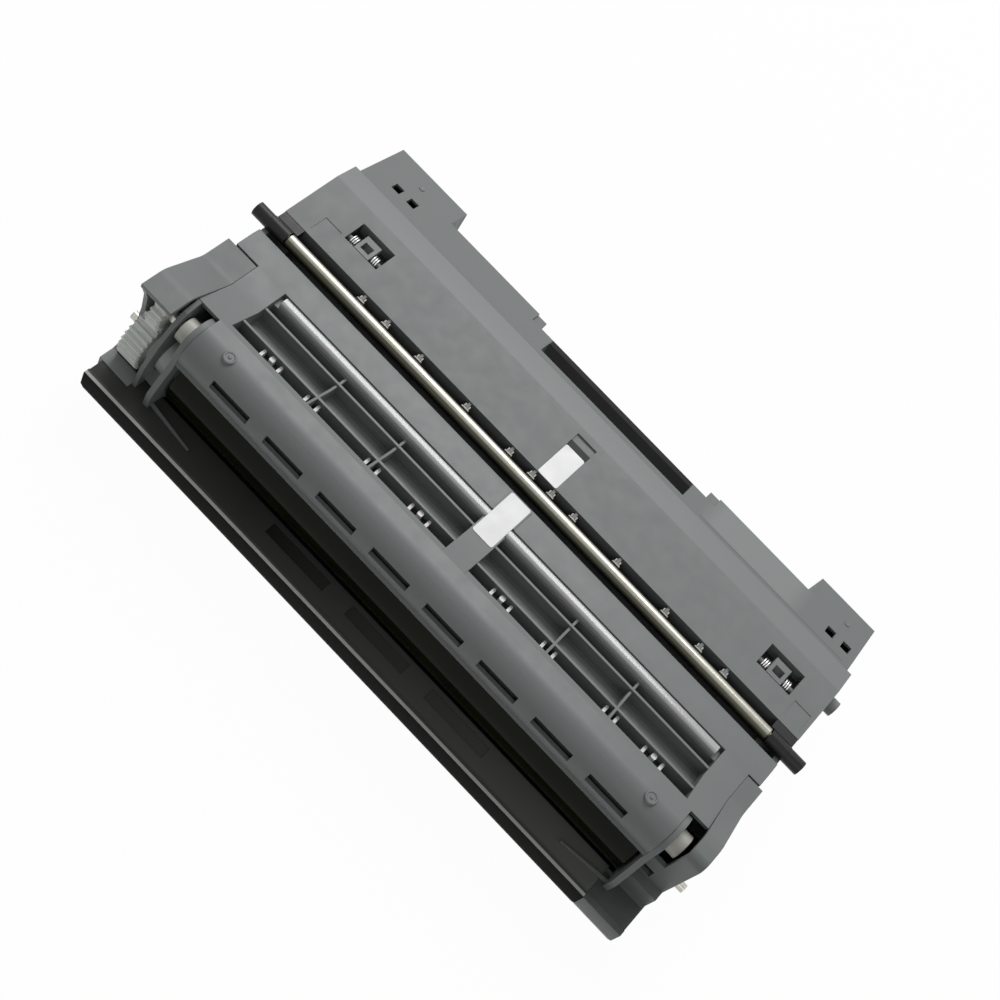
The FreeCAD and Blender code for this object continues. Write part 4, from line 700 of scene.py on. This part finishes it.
@cache
def shading_group(limit: float) -> bpy.types.NodeTree:
    """Nodes that shade a mesh smooth and keep its sharp edges.

    Args:
        limit: Largest angle in degrees between faces that are shaded as one.

    Returns:
        The group of nodes.
    """
    group = bpy.data.node_groups.new(f"smooth_to_{limit:.0f}", "GeometryNodeTree")
    for way in ("INPUT", "OUTPUT"):
        group.interface.new_socket(
            "Geometry", in_out=way, socket_type="NodeSocketGeometry",
        )
    source = group.nodes.new("NodeGroupInput").outputs[0]
    for domain in ("FACE", "EDGE"):
        smooth = group.nodes.new("GeometryNodeSetShadeSmooth")
        smooth.domain = domain
        group.links.new(source, smooth.inputs["Geometry"])
        source = smooth.outputs["Geometry"]
    angle = group.nodes.new("GeometryNodeInputMeshEdgeAngle").outputs["Unsigned Angle"]
    compare = group.nodes.new("FunctionNodeCompare")
    compare.operation = "LESS_THAN"
    group.links.new(angle, compare.inputs["A"])
    compare.inputs["B"].default_value = math.radians(limit)
    group.links.new(compare.outputs["Result"], smooth.inputs["Shade Smooth"])
    group.links.new(source, group.nodes.new("NodeGroupOutput").inputs[0])
    return group


def soften(piece: Object, edge: Edge, joined: bool = True) -> None:
    """Softens the edges of a piece.

    Args:
        piece: The piece, with flat faces joined at sharp edges.
        edge: How far its edges are softened.
        joined: Whether the triangles of a flat face are joined first.
    """
    weld = piece.modifiers.new("weld", "WELD")
    weld.merge_threshold = WELD_GAP
    if edge is not Edge.SHARP:
        if joined:
            flat = piece.modifiers.new("flat_faces", "DECIMATE")
            flat.decimate_type = "DISSOLVE"
            flat.angle_limit = math.radians(FLAT_ANGLE)
        bevel = piece.modifiers.new("soft_edges", "BEVEL")
        bevel.width = edge.value * MM
        bevel.segments = BEVEL_STEPS
        bevel.limit_method = "ANGLE"
        bevel.angle_limit = math.radians(BEVEL_ANGLE)
        bevel.miter_outer = "MITER_ARC"
    smooth = piece.modifiers.new("smooth_faces", "NODES")
    limit = PLAIN_LIMIT if edge is Edge.SHARP else BEVELLED_LIMIT
    smooth.node_group = shading_group(limit)
    normals = piece.modifiers.new("even_normals", "WEIGHTED_NORMAL")
    normals.keep_sharp = True
    normals.weight = NORMAL_WEIGHT


def dress(
    node: str, finish: Finish, edge: Edge = Edge.MOULDED, joined: bool = True,
) -> None:
    """Gives a node of the frame its finish.

    Args:
        node: Name of the node.
        finish: Its finish.
        edge: How far its edges are softened.
        joined: Whether the triangles of a flat face are joined first.
    """
    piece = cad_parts[node]
    material = finish.build()
    if not piece.material_slots:
        piece.data.materials.append(material)
    for place in piece.material_slots:
        place.material = material
    soften(piece, edge, joined)
    LOG.info("%s: %s", node, finish.name)


def settle(
    piece: Object, finish: Finish, slot: Slot, body: Body, *nodes: str,
) -> Object:
    """Puts a new piece on its body.

    Args:
        piece: The piece, in place.
        finish: Its finish.
        slot: The material slot that it stands for; not used.
        body: The body that carries it.
        *nodes: Nodes that it replaces.

    Returns:
        The piece.
    """
    piece.data.materials.clear()
    piece.data.materials.append(finish.build())
    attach(piece, body.value)
    if nodes:
        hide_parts(*nodes)
    LOG.info("%s: %s on %s", piece.name, finish.name, body.value)
    return piece


def box_of(node: str) -> tuple[Vector, Vector]:
    """Low and high corner of a node's box in millimetres."""
    low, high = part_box(node)
    return low / MM, high / MM


def piece_from(name: str, shape: Mesh, smooth: bool = False) -> Object:
    """A piece made of a mesh in millimetres.

    Args:
        name: Name of the piece.
        shape: The mesh, which is freed.
        smooth: Whether its faces are shaded smooth.

    Returns:
        The new object, in metres.
    """
    bmesh.ops.scale(shape, vec=(MM, MM, MM), verts=shape.verts)
    bmesh.ops.recalc_face_normals(shape, faces=shape.faces)
    for face in shape.faces:
        face.smooth = smooth
    mesh = bpy.data.meshes.new(name)
    shape.to_mesh(mesh)
    shape.free()
    piece = bpy.data.objects.new(name, mesh)
    bpy.context.collection.objects.link(piece)
    return piece


def prism(shape: Mesh, outline: Sequence[Pair], low: float, high: float) -> None:
    """Adds an upright prism.

    Args:
        shape: The mesh that receives it.
        outline: Corners of its outline, seen from above.
        low: Height of its underside.
        high: Height of its top.
    """
    foot = [shape.verts.new((x, y, low)) for x, y in outline]
    head = [shape.verts.new((x, y, high)) for x, y in outline]
    shape.faces.new(foot[::-1])
    shape.faces.new(head)
    for index in range(len(outline)):
        after = (index + 1) % len(outline)
        shape.faces.new((foot[index], foot[after], head[after], head[index]))


def rectangle(x0: float, x1: float, y0: float, y1: float) -> list[Pair]:
    """Corners of a rectangle."""
    return [(x0, y0), (x1, y0), (x1, y1), (x0, y1)]


def rounded(
    x0: float, x1: float, y0: float, y1: float, radius: float, steps: int = 5,
) -> list[Pair]:
    """Corners of a rectangle with rounded corners.

    Args:
        x0: Left side.
        x1: Right side.
        y0: Near side.
        y1: Far side.
        radius: Radius of the corners.
        steps: Steps in each corner.

    Returns:
        The points of the outline.
    """
    points = []
    corners = (
        (x1 - radius, y0 + radius, -90), (x1 - radius, y1 - radius, 0),
        (x0 + radius, y1 - radius, 90), (x0 + radius, y0 + radius, 180),
    )
    for x, y, start in corners:
        for step in range(steps + 1):
            angle = math.radians(start + 90 * step / steps)
            points.append((x + radius * math.cos(angle), y + radius * math.sin(angle)))
    return points


def turned(
    shape: Mesh, profile: Sequence[Pair], place: Matrix, sides: int,
    solid: bool = False,
) -> None:
    """Adds a body turned about the X axis of a place.

    Args:
        shape: The mesh that receives it.
        profile: Profile as pairs of distance along the axis and radius.
        place: Place and direction of the axis.
        sides: Number of sides around the axis.
        solid: Whether flat ends close it; otherwise its profile closes on itself.
    """
    rings = []
    for along, radius in profile:
        ring = []
        for side in range(sides):
            angle = 2 * math.pi * side / sides
            spot = Vector((along, radius * math.cos(angle), radius * math.sin(angle)))
            ring.append(shape.verts.new(place @ spot))
        rings.append(ring)
    joints = len(rings) - 1 if solid else len(rings)
    for index in range(joints):
        ring = rings[index]
        after = rings[(index + 1) % len(rings)]
        for side in range(sides):
            near = (side + 1) % sides
            shape.faces.new((ring[side], ring[near], after[near], after[side]))
    if solid:
        shape.faces.new(rings[0][::-1])
        shape.faces.new(rings[-1])


def beside(offsets: Sequence[float]) -> list[float]:
    """Places at these offsets to both sides of the paper's middle."""
    return [PAPER_MIDDLE + sign * offset for offset in offsets for sign in (-1, 1)]


def axis_at(y: float, z: float) -> Matrix:
    """Place of a lengthwise axis through y and z."""
    return Matrix.Translation((0.0, y, z))


def upright_at(x: float, y: float, z: float, lean: float = 0.0) -> Matrix:
    """Place of an upright axis, leaning in degrees about X.

    Args:
        x: Place along X.
        y: Place along Y.
        z: Height of its foot.
        lean: Angle by which its head leans to the far side.

    Returns:
        The matrix of the place.
    """
    stand = Matrix.Rotation(math.radians(-90.0), 4, "Y")
    tilt = Matrix.Rotation(math.radians(-lean), 4, "X")
    return Matrix.Translation((x, y, z)) @ tilt @ stand


def wire(name: str, points: Sequence[Point], radius: float) -> Object:
    """A bent wire.

    Args:
        name: Name of the piece.
        points: Points of its smooth centre line, in millimetres.
        radius: Radius of the wire in millimetres.

    Returns:
        The new curve object.
    """
    curve = bpy.data.curves.new(name, "CURVE")
    curve.dimensions = "3D"
    curve.bevel_depth = radius * MM
    curve.bevel_resolution = WIRE_STEPS
    curve.use_fill_caps = True
    curve.resolution_u = WIRE_STEPS
    spline = curve.splines.new("NURBS")
    spline.points.add(len(points) - 1)
    for knot, point in zip(spline.points, points):
        knot.co = (*(value * MM for value in point), 1.0)
    spline.order_u = 4
    spline.use_endpoint_u = True
    piece = bpy.data.objects.new(name, curve)
    bpy.context.collection.objects.link(piece)
    return piece


@dataclass
class FrameMouldings:
    """Grey lower frame and the covers at both ends."""

    clip_offsets: tuple[float, ...] = (5.0, 16.6, 39.2, 64.0, 81.5, 94.2)
    bar_half: float = 1.65
    bar_y: Pair = (6.45, 7.05)
    bar_z: Pair = (50.3, 50.65)
    bar_corner: float = 0.25
    post_spread: float = 1.0
    post_half: float = 0.3
    post_y: Pair = (7.45, 9.05)
    post_z: Pair = (49.0, 50.2)
    post_corner: float = 0.2
    hole_offsets: Pair = (114.2, 122.3)
    hole_y: float = 59.85
    hole_half: float = 2.05
    # Black cups under the corner holes, painted shade.
    shade_cup_wall: float = 0.5
    shade_cup_corner: float = 0.2
    shade_cup_floor: Pair = (37.6, 38.2)
    shade_cup_top: float = 41.9

    def build(self) -> None:
        """Dresses the frame and both end covers, and adds its small fittings and black
        cups that paint shade in the corner holes.
        """
        dress("main_frame", FRAME_GREY, joined=False)
        dress("left_end_cover", HEEL_GREY)
        dress("right_end_cover", FOOT_GREY)
        self.clips()
        self.shade_cups()

    def shade_cups(self) -> None:
        """Builds black cups under the square holes of the corner blocks, as painted
        shade.
        """
        foot, floor = self.shade_cup_floor
        y, inner = self.hole_y, self.hole_half
        outer = inner + self.shade_cup_wall
        shape = bmesh.new()
        for x in beside(self.hole_offsets):
            square = (x - outer, x + outer, y - outer, y + outer)
            prism(shape, rounded(*square, self.shade_cup_corner), foot, floor)
            for hand in (-1, 1):
                near, far = sorted((hand * inner, hand * outer))
                for wall in (
                    rectangle(x + near, x + far, y - outer, y + outer),
                    rectangle(x - inner, x + inner, y + near, y + far),
                ):
                    prism(shape, wall, floor, self.shade_cup_top)
        piece = piece_from("block_hole_shade_cups", shape)
        settle(piece, SLEEVE_BLACK, Slot.BLACK, Body.FRAME)

    def clips(self) -> None:
        """Builds pale caps on the clips beside the metal roller."""
        half = self.bar_half
        shape = bmesh.new()
        for x in beside(self.clip_offsets):
            outline = rounded(x - half, x + half, *self.bar_y, self.bar_corner)
            prism(shape, outline, *self.bar_z)
            for hand in (-1, 1):
                post = x + hand * self.post_spread
                sides = (post - self.post_half, post + self.post_half)
                outline = rounded(*sides, *self.post_y, self.post_corner)
                prism(shape, outline, *self.post_z)
        piece = piece_from("slot_clip_caps", shape)
        soften(piece, Edge.FINE)
        settle(piece, CLIP_PALE, Slot.WHITE, Body.FRAME)


@dataclass
class PaperChute:
    """Ribbed chute with its polished strip and white runners."""

    prong_width: float = 1.3
    prong_corner: float = 0.45
    groups: Pair = (95.2, 20.4)
    group_spread: float = 4.2
    ribs: Pair = (44.0, 74.6)
    rib_spread: float = 2.6
    lift: float = 1.2
    head: float = 2.2
    head_rise: float = 0.65
    head_corner: float = 0.6
    bridge_long: float = 2.6
    bridge_drop: float = 1.1
    bridge_thick: float = 0.8
    bridge_inset: float = 0.2
    bridge_corner: float = 0.3

    def build(self) -> None:
        """Dresses the chute and its strip, and builds the runners."""
        dress("paper_chute", CHUTE_GREY, Edge.FINE)
        dress("guide_strip", STRIP_POLISH, Edge.FINE)
        self.runners()
        self.bridges()

    def runners(self) -> None:
        """Builds white prongs with rounded tips in the place of the plain ones."""
        low, high = box_of("paper_runners")
        foot, top = low.z, high.z + self.lift
        near, far = low.y, high.y
        half, head = self.prong_width / 2, self.head
        sets = ((self.group_spread, self.groups), (self.rib_spread, self.ribs))
        shape = bmesh.new()
        for spread, offsets in sets:
            for middle in beside(offsets):
                for hand in (-1, 1):
                    x = middle + hand * spread
                    outline = rounded(x - half, x + half, near, far, self.prong_corner)
                    prism(shape, outline, foot, top - self.head_rise)
        for x in beside(self.groups):
            sides = (x - head / 2, x + head / 2, far - head, far)
            prism(shape, rounded(*sides, self.head_corner), foot, top)
        piece = piece_from("paper_runner_prongs", shape)
        soften(piece, Edge.FINE)
        settle(piece, RUNNER_WHITE, Slot.WHITE, Body.FRAME, "paper_runners")

    def bridges(self) -> None:
        """Builds dark bridges that join the prongs of a runner under its head."""
        high = box_of("paper_runners")[1]
        far = high.y - self.bridge_inset
        top = high.z - self.head_rise - self.bridge_drop
        reach = self.group_spread - self.prong_width / 2
        shape = bmesh.new()
        for x in beside(self.groups):
            sides = (x - reach, x + reach, far - self.bridge_long, far)
            outline = rounded(*sides, self.bridge_corner)
            prism(shape, outline, top - self.bridge_thick, top)
        piece = piece_from("paper_runner_bridges", shape)
        soften(piece, Edge.FINE)
        settle(piece, HEAD_BROWN, Slot.DARK, Body.FRAME)


@dataclass
class Labels:
    """Two blank white labels."""

    corner: float = 0.9
    corner_steps: int = 8

    def build(self) -> None:
        """Builds both labels with rounded corners."""
        for node in ("bridge_label", "plate_label"):
            self.film(node)

    def film(self, node: str) -> None:
        """Builds a film with rounded corners in the place of a plain label.

        Args:
            node: The plain label.
        """
        low, high = box_of(node)
        sides = (low.x, high.x, low.y, high.y)
        shape = bmesh.new()
        prism(shape, rounded(*sides, self.corner, self.corner_steps), low.z, high.z)
        piece = piece_from(f"{node}_film", shape)
        soften(piece, Edge.FINE)
        settle(piece, LABEL_WHITE, Slot.LABEL, Body.FRAME, node)


@dataclass
class TransferRoller:
    """Foam roller under its slotted cover."""

    axis: Pair = (-53.55, 49.5)
    shaft_radius: float = 2.5
    end_step: float = 0.4
    end_drop: float = 0.5
    skin: float = 0.1
    cell_depth: float = 0.16
    ring_pitch: float = 0.8
    sides: int = 80
    seed: int = 7

    def build(self) -> None:
        """Dresses the roller's hard pieces and builds its foam."""
        dress("transfer_cover", COVER_GREY)
        dress("transfer_shaft", SHAFT_STEEL, Edge.FINE)
        dress("transfer_gear", GEAR_WHITE, Edge.FINE)
        for side in Side:
            dress(f"transfer_bush_{side.tag}", BUSH_CREAM, Edge.FINE)
        self.foam()

    def foam(self) -> None:
        """Builds the foam tube with an uneven, open surface."""
        low, high = box_of("transfer_foam")
        start, end = low.x, high.x
        radius = (high.z - low.z) / 2
        shoulder = radius - self.end_drop
        count = int((end - start) / self.ring_pitch)
        length = end - start - 2 * self.end_step
        profile = [(start, self.shaft_radius), (start, shoulder)]
        profile += [
            (start + self.end_step + length * index / count, radius)
            for index in range(count + 1)
        ]
        profile += [(end, shoulder), (end, self.shaft_radius)]
        shape = bmesh.new()
        turned(shape, profile, axis_at(*self.axis), self.sides)
        chance = random.Random(self.seed)
        for vert in shape.verts:
            away = Vector((0, vert.co.y - self.axis[0], vert.co.z - self.axis[1]))
            if away.length > radius - self.skin:
                vert.co -= away.normalized() * chance.random() * self.cell_depth
        piece = piece_from("transfer_foam_sleeve", shape, smooth=True)
        settle(piece, FOAM_GREY, Slot.FOAM, Body.TRANSFER, "transfer_foam")


@dataclass
class DrumSet:
    """Photoconductor drum with its gear, flange and shaft."""

    wall: float = 0.8
    chamfer: float = 0.3
    sides: int = 180

    def build(self) -> None:
        """Dresses the drum and turns its coated tube."""
        dress("drum_gear", GEAR_WHITE, Edge.FINE)
        dress("drum_flange", GEAR_WHITE, Edge.FINE)
        dress("drum_shaft", SHAFT_STEEL, Edge.FINE)
        dress("earth_plate", STAINLESS, Edge.FINE)
        self.tube()

    def tube(self) -> None:
        """Builds a round tube with broken edges in the place of the plain one."""
        low, high = box_of("drum_tube")
        middle = (low + high) / 2
        radius = (high.z - low.z) / 2
        inner, edge = radius - self.wall, self.chamfer
        profile = [
            (low.x, inner), (low.x, radius - edge), (low.x + edge, radius),
            (high.x - edge, radius), (high.x, radius - edge), (high.x, inner),
        ]
        shape = bmesh.new()
        turned(shape, profile, axis_at(middle.y, middle.z), self.sides)
        piece = piece_from("drum_coated_tube", shape, smooth=True)
        soften(piece, Edge.SHARP)
        settle(piece, DRUM_OLIVE, Slot.DRUM, Body.DRUM, "drum_tube")


@dataclass
class PinchRoller:
    """Metal roller across the slot, with its sleeves and bearing blocks."""

    radius: float = 3.0
    journal: float = 2.0
    half: float = 124.2
    chamfer: float = 0.35
    sides: int = 96

    def build(self) -> None:
        """Turns the roller and dresses what carries it."""
        self.roller()
        for side in Side:
            dress(f"pinch_sleeve_{side.tag}", SLEEVE_BLACK, Edge.FINE)
            dress(f"bearing_block_{side.tag}", SLEEVE_BLACK, Edge.FINE)

    def roller(self) -> None:
        """Builds a ground roller with journals in the place of the plain one."""
        low, high = box_of("pinch_roller")
        middle = (low + high) / 2
        tip, half, edge = high.x, self.half, self.chamfer
        radius, journal = self.radius, self.journal
        right = [
            (half - edge, radius), (half, radius - edge), (half, journal),
            (tip - edge, journal), (tip, journal - edge),
        ]
        profile = [(-along, reach) for along, reach in reversed(right)] + right
        shape = bmesh.new()
        place = axis_at(middle.y, middle.z)
        turned(shape, profile, place, self.sides, solid=True)
        piece = piece_from("pinch_ground_roller", shape, smooth=True)
        soften(piece, Edge.SHARP)
        settle(piece, ROLLER_STEEL, Slot.ROLLER, Body.PINCH, "pinch_roller")


@dataclass
class MouldMarks:
    """Ring marks on the rounded cover and pips on the corner blocks."""

    ring_offset: float = 102.7
    ring_place: Pair = (-54.95, 60.15)
    ring_profile: tuple[Pair, ...] = (
        (0.0, 1.55), (0.22, 1.8), (0.3, 2.1), (0.22, 2.4), (0.0, 2.6),
    )
    ring_sides: int = 48
    pip_profile: tuple[Pair, ...] = ((0.0, 0.85), (0.2, 0.75), (0.32, 0.5), (0.37, 0.2))
    pip_sides: int = 32
    stud_profile: tuple[Pair, ...] = (
        (0.0, 1.3), (0.3, 1.15), (0.42, 0.85), (0.25, 0.6), (0.2, 0.2),
    )
    block_offset: float = 117.6
    block_place: Pair = (70.65, 40.75)
    block_lean: float = 16.3

    def build(self) -> None:
        """Builds the marks of both ends."""
        for side in Side:
            x = PAPER_MIDDLE + side.value * self.ring_offset
            place = upright_at(x, *self.ring_place)
            ring = bmesh.new()
            turned(ring, self.ring_profile, place, self.ring_sides)
            turned(ring, self.pip_profile, place, self.pip_sides, solid=True)
            self.mark(f"cover_ring_{side.tag}", ring)
            x = PAPER_MIDDLE + side.value * self.block_offset
            place = upright_at(x, *self.block_place, self.block_lean)
            stud = bmesh.new()
            turned(stud, self.stud_profile, place, self.pip_sides, solid=True)
            self.mark(f"block_pip_{side.tag}", stud)

    def mark(self, name: str, shape: Mesh) -> None:
        """Settles a mark on the frame."""
        piece = piece_from(name, shape, smooth=True)
        settle(piece, COVER_GREY, Slot.COVER, Body.FRAME)


@dataclass
class PressPads:
    """Rocking pads in the plate's windows and the wire springs around their hinges."""

    pad_offset: float = 108.3
    hinge: Pair = (24.25, 48.4)
    coil_start: float = 4.3
    coil_length: float = 2.5
    coil_radius: float = 2.3
    wire_radius: float = 0.33
    turns: float = 2.75
    steps: int = 14

    def build(self) -> None:
        """Dresses the pads and winds their springs."""
        for side in Side:
            dress(f"press_pad_{side.tag}", COVER_GREY, Edge.FINE)
            coils = [self.coil(side, hand) for hand in (-1, 1)]
            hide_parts(f"pad_springs_{side.tag}")

    def coil(self, side: Side, hand: int) -> Object:
        """One spring around the hinge.

        Args:
            side: End of the unit.
            hand: Side of the pad, -1 or 1.

        Returns:
            The spring.
        """
        y, z = self.hinge
        middle = PAPER_MIDDLE + side.value * self.pad_offset
        start = middle + hand * self.coil_start
        count = int(self.turns * self.steps)
        points = []
        for step in range(count + 1):
            angle = 2 * math.pi * step / self.steps
            points.append((
                start + hand * self.coil_length * step / count,
                y + self.coil_radius * math.cos(angle),
                z + self.coil_radius * math.sin(angle),
            ))
        end = "inner" if hand * side.value < 0 else "outer"
        piece = wire(f"pad_spring_{side.tag}_{end}", points, self.wire_radius)
        return settle(piece, SPRING_WIRE, Slot.SPRING, Body.FRAME)


@dataclass
class ChargerSet:
    """Dark charger cover with the charger and its wire cleaner."""

    edge: Edge = Edge.FINE

    def build(self) -> None:
        """Dresses the cover and everything inside it."""
        dress("charger_cover", TRAY_DARK)
        dress("charger_shield", STAINLESS, Edge.SHARP)
        dress("charger_grid", STAINLESS, Edge.SHARP)
        dress("charger_wire", SPRING_WIRE, Edge.SHARP)
        for side in Side:
            dress(f"charger_holder_{side.tag}", SLEEVE_BLACK, self.edge)
        dress("wire_cleaner", LEVER_GREEN, self.edge)


@dataclass
class SmallParts:
    """Screws and the cartridge release lever."""

    edge: Edge = Edge.FINE

    def build(self) -> None:
        """Dresses the small parts."""
        dress("cover_screws", SCREW_STEEL, self.edge)
        dress("release_lever", LEVER_GREEN, self.edge)


@dataclass
class PhotoCamera:
    """Camera at the photograph's angle."""

    place: Point = (35.13, -338.65, 557.17)
    right: Point = (0.9981, 0.0332, -0.0512)
    up: Point = (0.0, 0.839, 0.5442)
    roll: float = 46.0
    lens: float = 61.2
    sensor: float = 36.0
    clip_start: float = 0.01

    def build(self) -> None:
        """Places the camera and makes it the scene's."""
        right = Vector(self.right).normalized()
        up = Vector(self.up)
        up = (up - right * up.dot(right)).normalized()
        roll = math.radians(self.roll)
        across = right * math.cos(roll) + up * math.sin(roll)
        upward = up * math.cos(roll) - right * math.sin(roll)
        turn = Matrix((across, upward, across.cross(upward))).transposed()
        data = bpy.data.cameras.new("photo_camera")
        data.lens = self.lens
        data.sensor_width = self.sensor
        data.sensor_fit = "HORIZONTAL"
        data.clip_start = self.clip_start
        camera = bpy.data.objects.new("photo_camera", data)
        place = Matrix.Translation(Vector(self.place) * MM)
        camera.matrix_world = place @ turn.to_4x4()
        bpy.context.collection.objects.link(camera)
        bpy.context.scene.camera = camera


@dataclass
class Studio:
    """Plain pale floor under soft light."""

    floor_size: float = 6.0
    floor_drop: float = 0.0002
    floor_white: float = 0.86
    glow: float = 0.97
    ambient: float = 0.24
    key_place: Point = (-0.22, 0.8, 1.05)
    key_size: float = 0.8
    key_power: float = 12.4
    fill_place: Point = (0.6, -0.9, 0.9)
    fill_size: float = 0.5
    fill_power: float = 1.2
    aim: Point = (0.0, 0.0, 0.03)

    def build(self) -> None:
        """Builds the floor, the world and the lights."""
        self.floor()
        self.world()
        self.light("key_light", self.key_place, self.key_size, self.key_power)
        self.light("fill_light", self.fill_place, self.fill_size, self.fill_power)
        bpy.context.scene.view_settings.view_transform = "Standard"

    def floor(self) -> None:
        """Builds a white floor that keeps the unit's shadow."""
        half, drop = self.floor_size / 2 / MM, self.floor_drop / MM
        corners = rectangle(-half, half, -half, half)
        shape = bmesh.new()
        shape.faces.new([shape.verts.new((x, y, -drop)) for x, y in corners])
        piece = piece_from("floor", shape)
        bench = NodeBench.material("floor_paper")
        white = (self.floor_white, self.floor_white, self.floor_white, 1.0)
        paper = bench.add("ShaderNodeBsdfDiffuse", {"Color": white})
        glow = bench.add("ShaderNodeEmission", {"Color": WHITE, "Strength": 1.0})
        share = bench.math("MULTIPLY", bench.seen(), self.glow)
        values = {0: share, 1: paper.outputs[0], 2: glow.outputs[0]}
        mix = bench.add("ShaderNodeMixShader", values)
        bench.end("ShaderNodeOutputMaterial", mix)
        piece.data.materials.append(bench.owner)

    def world(self) -> None:
        """Builds white surroundings with an even, low light."""
        world = bpy.data.worlds.new("studio")
        bench = NodeBench(world)
        shown = bench.add("ShaderNodeBackground", {"Color": WHITE})
        values = {"Color": WHITE, "Strength": self.ambient}
        lit = bench.add("ShaderNodeBackground", values)
        values = {0: bench.seen(), 1: lit.outputs[0], 2: shown.outputs[0]}
        bench.end("ShaderNodeOutputWorld", bench.add("ShaderNodeMixShader", values))
        bpy.context.scene.world = world

    def light(self, name: str, place: Point, size: float, power: float) -> None:
        """Hangs a soft square lamp aimed at the unit.

        Args:
            name: Name of the lamp.
            place: Its place in metres.
            size: Length of its side in metres.
            power: Its power in watts.
        """
        data = bpy.data.lights.new(name, "AREA")
        data.shape = "SQUARE"
        data.size = size
        data.energy = power
        lamp = bpy.data.objects.new(name, data)
        away = Vector(place) - Vector(self.aim)
        turn = away.to_track_quat("Z", "Y").to_matrix().to_4x4()
        lamp.matrix_world = Matrix.Translation(Vector(place)) @ turn
        bpy.context.collection.objects.link(lamp)


def main() -> None:
    """Builds the studio and dresses every sub-assembly in order."""
    logging.basicConfig(level=logging.INFO, format="%(name)s: %(message)s")
    assemblies = (
        PhotoCamera(), Studio(), FrameMouldings(), PaperChute(), Labels(),
        TransferRoller(), DrumSet(), PinchRoller(), MouldMarks(), PressPads(),
        ChargerSet(), SmallParts(),
    )
    for assembly in assemblies:
        assembly.build()
        LOG.info("%s done", type(assembly).__name__)


if __name__ == "__main__":
    main()
